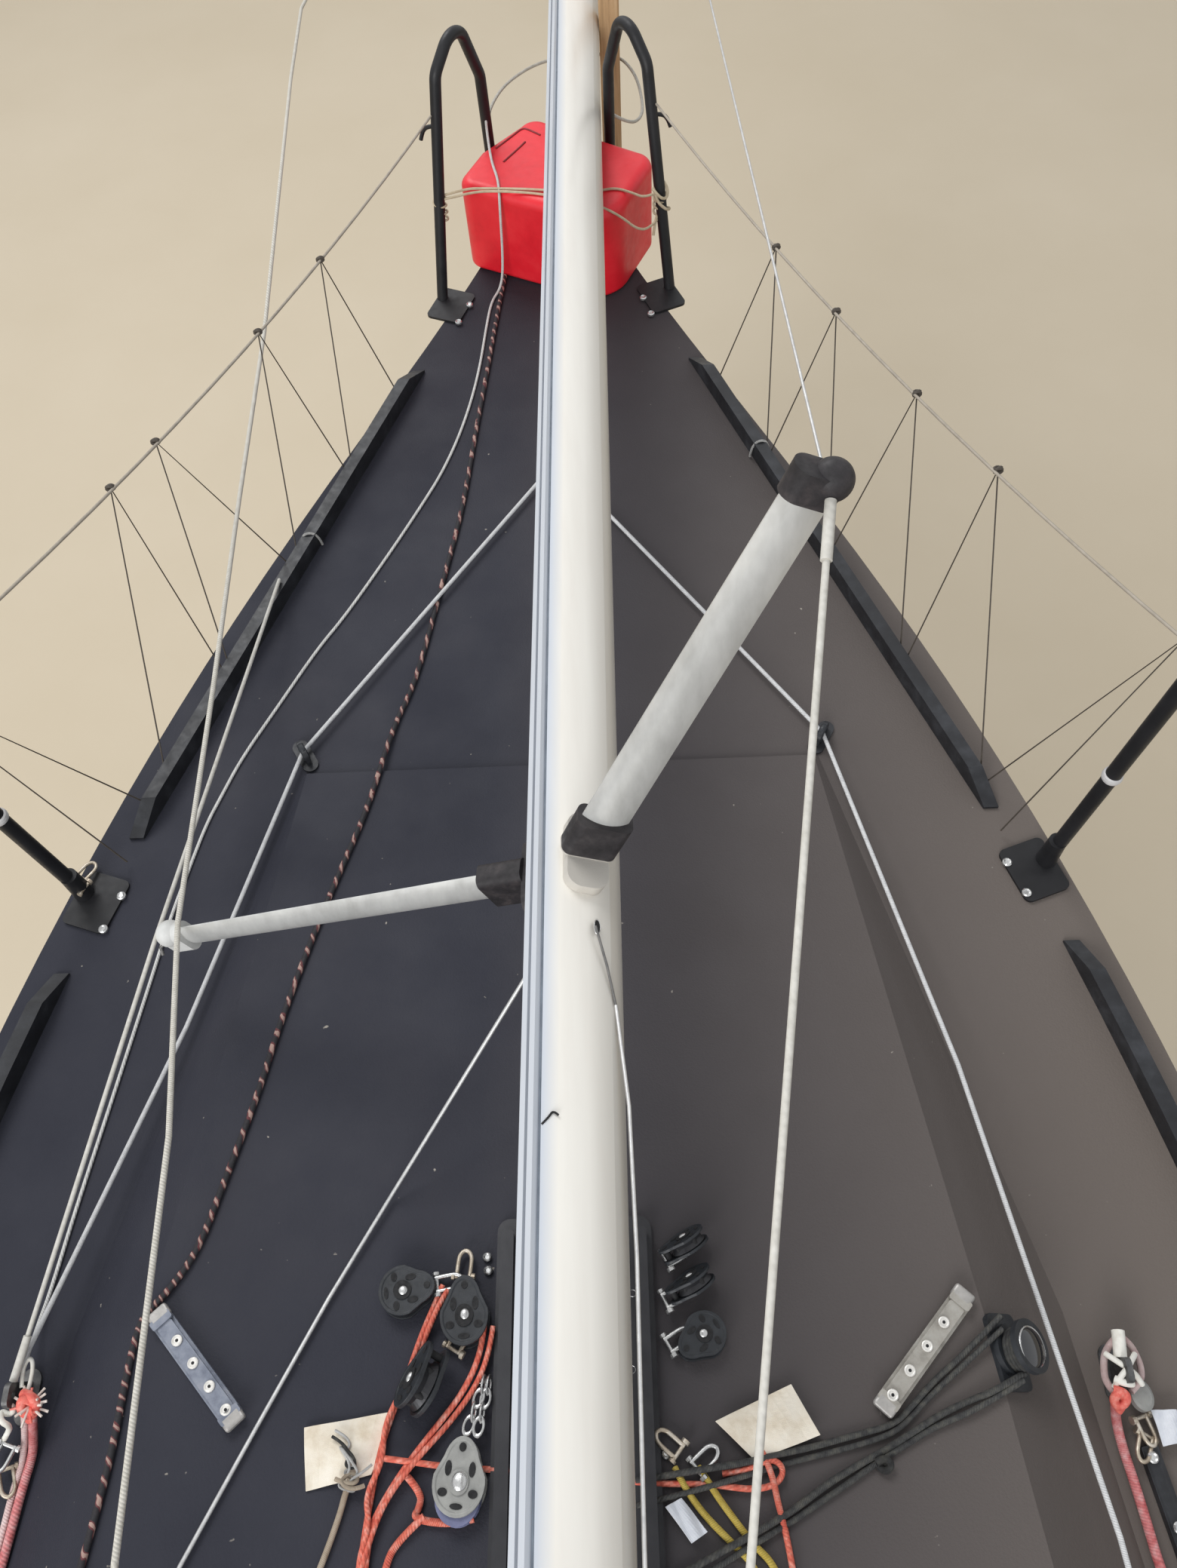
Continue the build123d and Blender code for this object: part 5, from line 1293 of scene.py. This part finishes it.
# %% [markdown]
# ## The can and its lashing
#
# A red fuel can carries the mast at the bow. Its sunk handle shows as two creases in a
# diamond, drawn as dark lines of painted shade. A double cream line is passed over it from one
# pulpit leg to the other and knotted on the starboard side, and a slack loop goes ahead of it from
# leg to leg round the timber prop.

# %% Can details
# the creases are dark lines of painted shade in the sunk handle
can_shadow = finish(
    "can_crease_shade", [(0.16, 0.004, 0.008), (0.24, 0.008, 0.012)], 40, (0.5, 0.7), grain=500)
crease_height = 220.5
crease_rows = [[(-123, 2901), (-85, 2945), (-62, 2975), (-45, 2965), (-20, 2943)],
               [(-104, 2849), (-85, 2876), (-68, 2900), (-55, 2920)]]
lines(can_shadow, [(f"can_crease_shade_{number}", 5.5, [(x, y, crease_height) for x, y in stops])
                   for number, stops in enumerate(crease_rows, 1)], straight=False)
lines(cream_lashing, [
    ("lashing_1", 5.5, [
        (-247, 2728, 226), (-215, 2735, 229), (-180, 2748, 228), (-140, 2750, 224.5),
        (-60, 2742, 224.5), (0, 2732, 224.5), (60, 2724, 224.5), (115, 2722, 224.5),
        (150, 2728, 224.5), (185, 2712, 222), (215, 2700, 215), (246, 2722, 215)]),
    ("lashing_2", 5.5, [
        (-248, 2724, 220), (-215, 2727, 223), (-178, 2738, 224), (-140, 2741, 224.5),
        (-60, 2731, 224.5), (0, 2715, 224.5), (60, 2690, 224.5), (115, 2668, 223.5),
        (160, 2652, 206), (195, 2655, 170), (225, 2685, 150), (250, 2716, 160)]),
    ("lashing_knot", 6.5, [
        (230, 2705, 235), (244, 2690, 222), (262, 2700, 210), (266, 2722, 222), (250, 2742, 236),
        (234, 2728, 226), (240, 2700, 205), (262, 2690, 190), (272, 2712, 180), (252, 2722, 175),
        (236, 2702, 160), (232, 2688, 130)]),
], straight=False)
turn_radius, turn_step, turn_drop = 0.0155, 1.05, 0.0028
for side, (x, y, z) in (("port", (-0.247, 2.727, 0.222)), ("starboard", (0.247, 2.722, 0.21))):
    turns = [above(x + turn_radius * math.cos(turn_step * n),
                   y + turn_radius * math.sin(turn_step * n), z - turn_drop * n) for n in range(20)]
    dress(rope(f"lashing_turns_{side}", turns, 0.0052), cream_lashing)
lines(cream_rope, [("bow_loop", 7.5, [
    (-141, 2955, 270), (-146, 3000, 215), (-152, 3090, 170), (-150, 3200, 145), (-115, 3320, 130),
    (-30, 3405, 130), (80, 3415, 135), (170, 3410, 135), (215, 3330, 130), (228, 3190, 140),
    (222, 3090, 160), (190, 3000, 200), (146, 2965, 250)
])], straight=False)

# %% [markdown]
# ## Jib tracks, padeyes and mast details
#
# Each jib track is held by four countersunk screws and has a grey cap at each end. A dark
# thimble sits in each padeye, and a ring in the middle of the foredeck takes the tack line. The
# mast has an exit slot for a halyard and a short dark scratch on its port face.

# %% Track screws, thimbles and the tack ring
pale_screw = finish(
    "screw_pale", [(0.62, 0.6, 0.56), (0.78, 0.76, 0.72)], 80, (0.3, 0.45), metal=0.4, grain=900)
rim = ring(0.0060, 0.0017, 18, 8)
head = rod(18, 0.0060, 0.0016)
# the dark socket of the screw head is painted shade
socket = rod(12, 0.0021, 0.0026)
screw = joined("track_screw", [dress(rim, pale_screw), dress(head, pale_screw),
                               dress(socket, black_and_shade)])
cap_grey = finish(
    "cap_grey", [(0.3, 0.29, 0.275), (0.44, 0.42, 0.4)], 60, (0.3, 0.5), metal=0.4, grain=900)
track_end = dress(softened(box_of((0.030, 0.019, 0.011)), 0.004, 3), cap_grey)
screw_places, end_places = [], []
for side, node in ((-1, "jib_track_port"), (1, "jib_track_starboard")):
    node_low, node_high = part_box(node)
    middle = (node_low + node_high) / 2
    way = Vector((side * 0.107, 0.112, -0.0132)).normalized()
    for reach, lift, places in ((0.0435, 0.0150, screw_places), (0.004, 0.0150, screw_places),
                                (-0.036, 0.0150, screw_places), (-0.0755, 0.0162, screw_places),
                                (-0.090, 0.0116, end_places), (0.090, 0.0116, end_places)):
        spot = Vector((middle.x, middle.y, 0)) + way * reach
        places.append(laid(on_roof(spot.x, spot.y, lift), way, roof_up))
spread(screw, "track_screw", screw_places)
spread(track_end, "track_end", end_places)

thimble = ring(0.0135, 0.0042, 28, 10)
dress(resized(thimble, (1, 1.15, 1.5)), finishes["block_plastic"])
spread(thimble, "thimble", [
    laid(above(-0.474, 1.411, 0.018), (0, 0, 1), (0.866, 0.5, 0)),
    laid(above(0.484, 1.409, 0.018), (0, 0, 1), (-0.866, 0.5, 0)),
    laid(above(0.0, 2.12, 0.008))])

# %% Exit slot and scratch of the mast
slot_rim = ring(0.0085, 0.0011, 28, 8)
# the dark disc inside the slot rim is painted shade
slot_dark = rod(28, 0.0085, 0.0014)
exit_slot = joined("mast_exit_slot", [dress(slot_rim, finishes["steel"]),
                                      dress(slot_dark, black_and_shade)])
exit_spot = mast_middle + mast_way * 0.578 + mast_side * 0.0335 + mast_up * 0.0385
settle(exit_slot, laid(exit_spot, mast_way, mast_side * 0.66 + mast_up * 0.75, (0.55, 1.15, 1)))
mark_stops = [mast_middle + mast_way * reach + mast_side * across + mast_up * 0.0545
              for reach, across in ((0.323, -0.031), (0.331, -0.023), (0.339, -0.018),
                                    (0.333, -0.012))]
dress(rope("mast_mark", mark_stops, 0.0026), black_and_shade)
print("exit slot", [round(side, 3) for side in exit_slot.dimensions])

# %% [markdown]
# ## Coils and cap of the control drum
#
# The control lines are wound on a drum at the edge of the coachroof. Four turns of line lie
# between its flanges, and a smoked cap with a thin bright ring closes its end. The turns are
# rings of rope set along the drum's own axis.

# %% Turns, ring and cap of the drum
drum_axis = Vector((0.651, 0.07, 0.757)).normalized()
drum_foot = above(0.6016, 0.372, 0.108)


def on_drum(name, piece, material, reach):
    """Puts a piece on the drum, at its reach along the axis."""
    piece.name = name
    settle(dress(piece, material), laid(drum_foot + drum_axis * reach, (0, 1, 0), drum_axis))


for number, reach in enumerate((0.0165, 0.0215, 0.0265, 0.0310), 1):
    turn = ring(0.0255, 0.0034, 30, 8)
    on_drum(f"drum_turn_{number}", turn, black_rope, reach)
drum_ring = ring(0.0262, 0.0014, 36, 8)
on_drum("drum_ring", drum_ring, finishes["steel"], 0.0405)
drum_cap = fresh(bpy.ops.mesh.primitive_uv_sphere_add, segments=28, ring_count=14, radius=0.0265)
bpy.ops.object.mode_set(mode="EDIT")
bpy.ops.mesh.select_all(action="SELECT")
bpy.ops.transform.resize(value=(1, 1, 0.32))
bpy.ops.mesh.bisect(plane_co=(0, 0, 0), plane_no=(0, 0, 1), clear_inner=True, use_fill=True)
bpy.ops.object.mode_set(mode="OBJECT")
bpy.ops.object.shade_smooth_by_angle()
on_drum("drum_cap", drum_cap, finishes["smoked_acrylic"], 0.0395)
print("drum dressed")

# %% Put away the shackle patterns
for pattern in (shackle, dull_shackle):
    bpy.data.objects.remove(pattern)
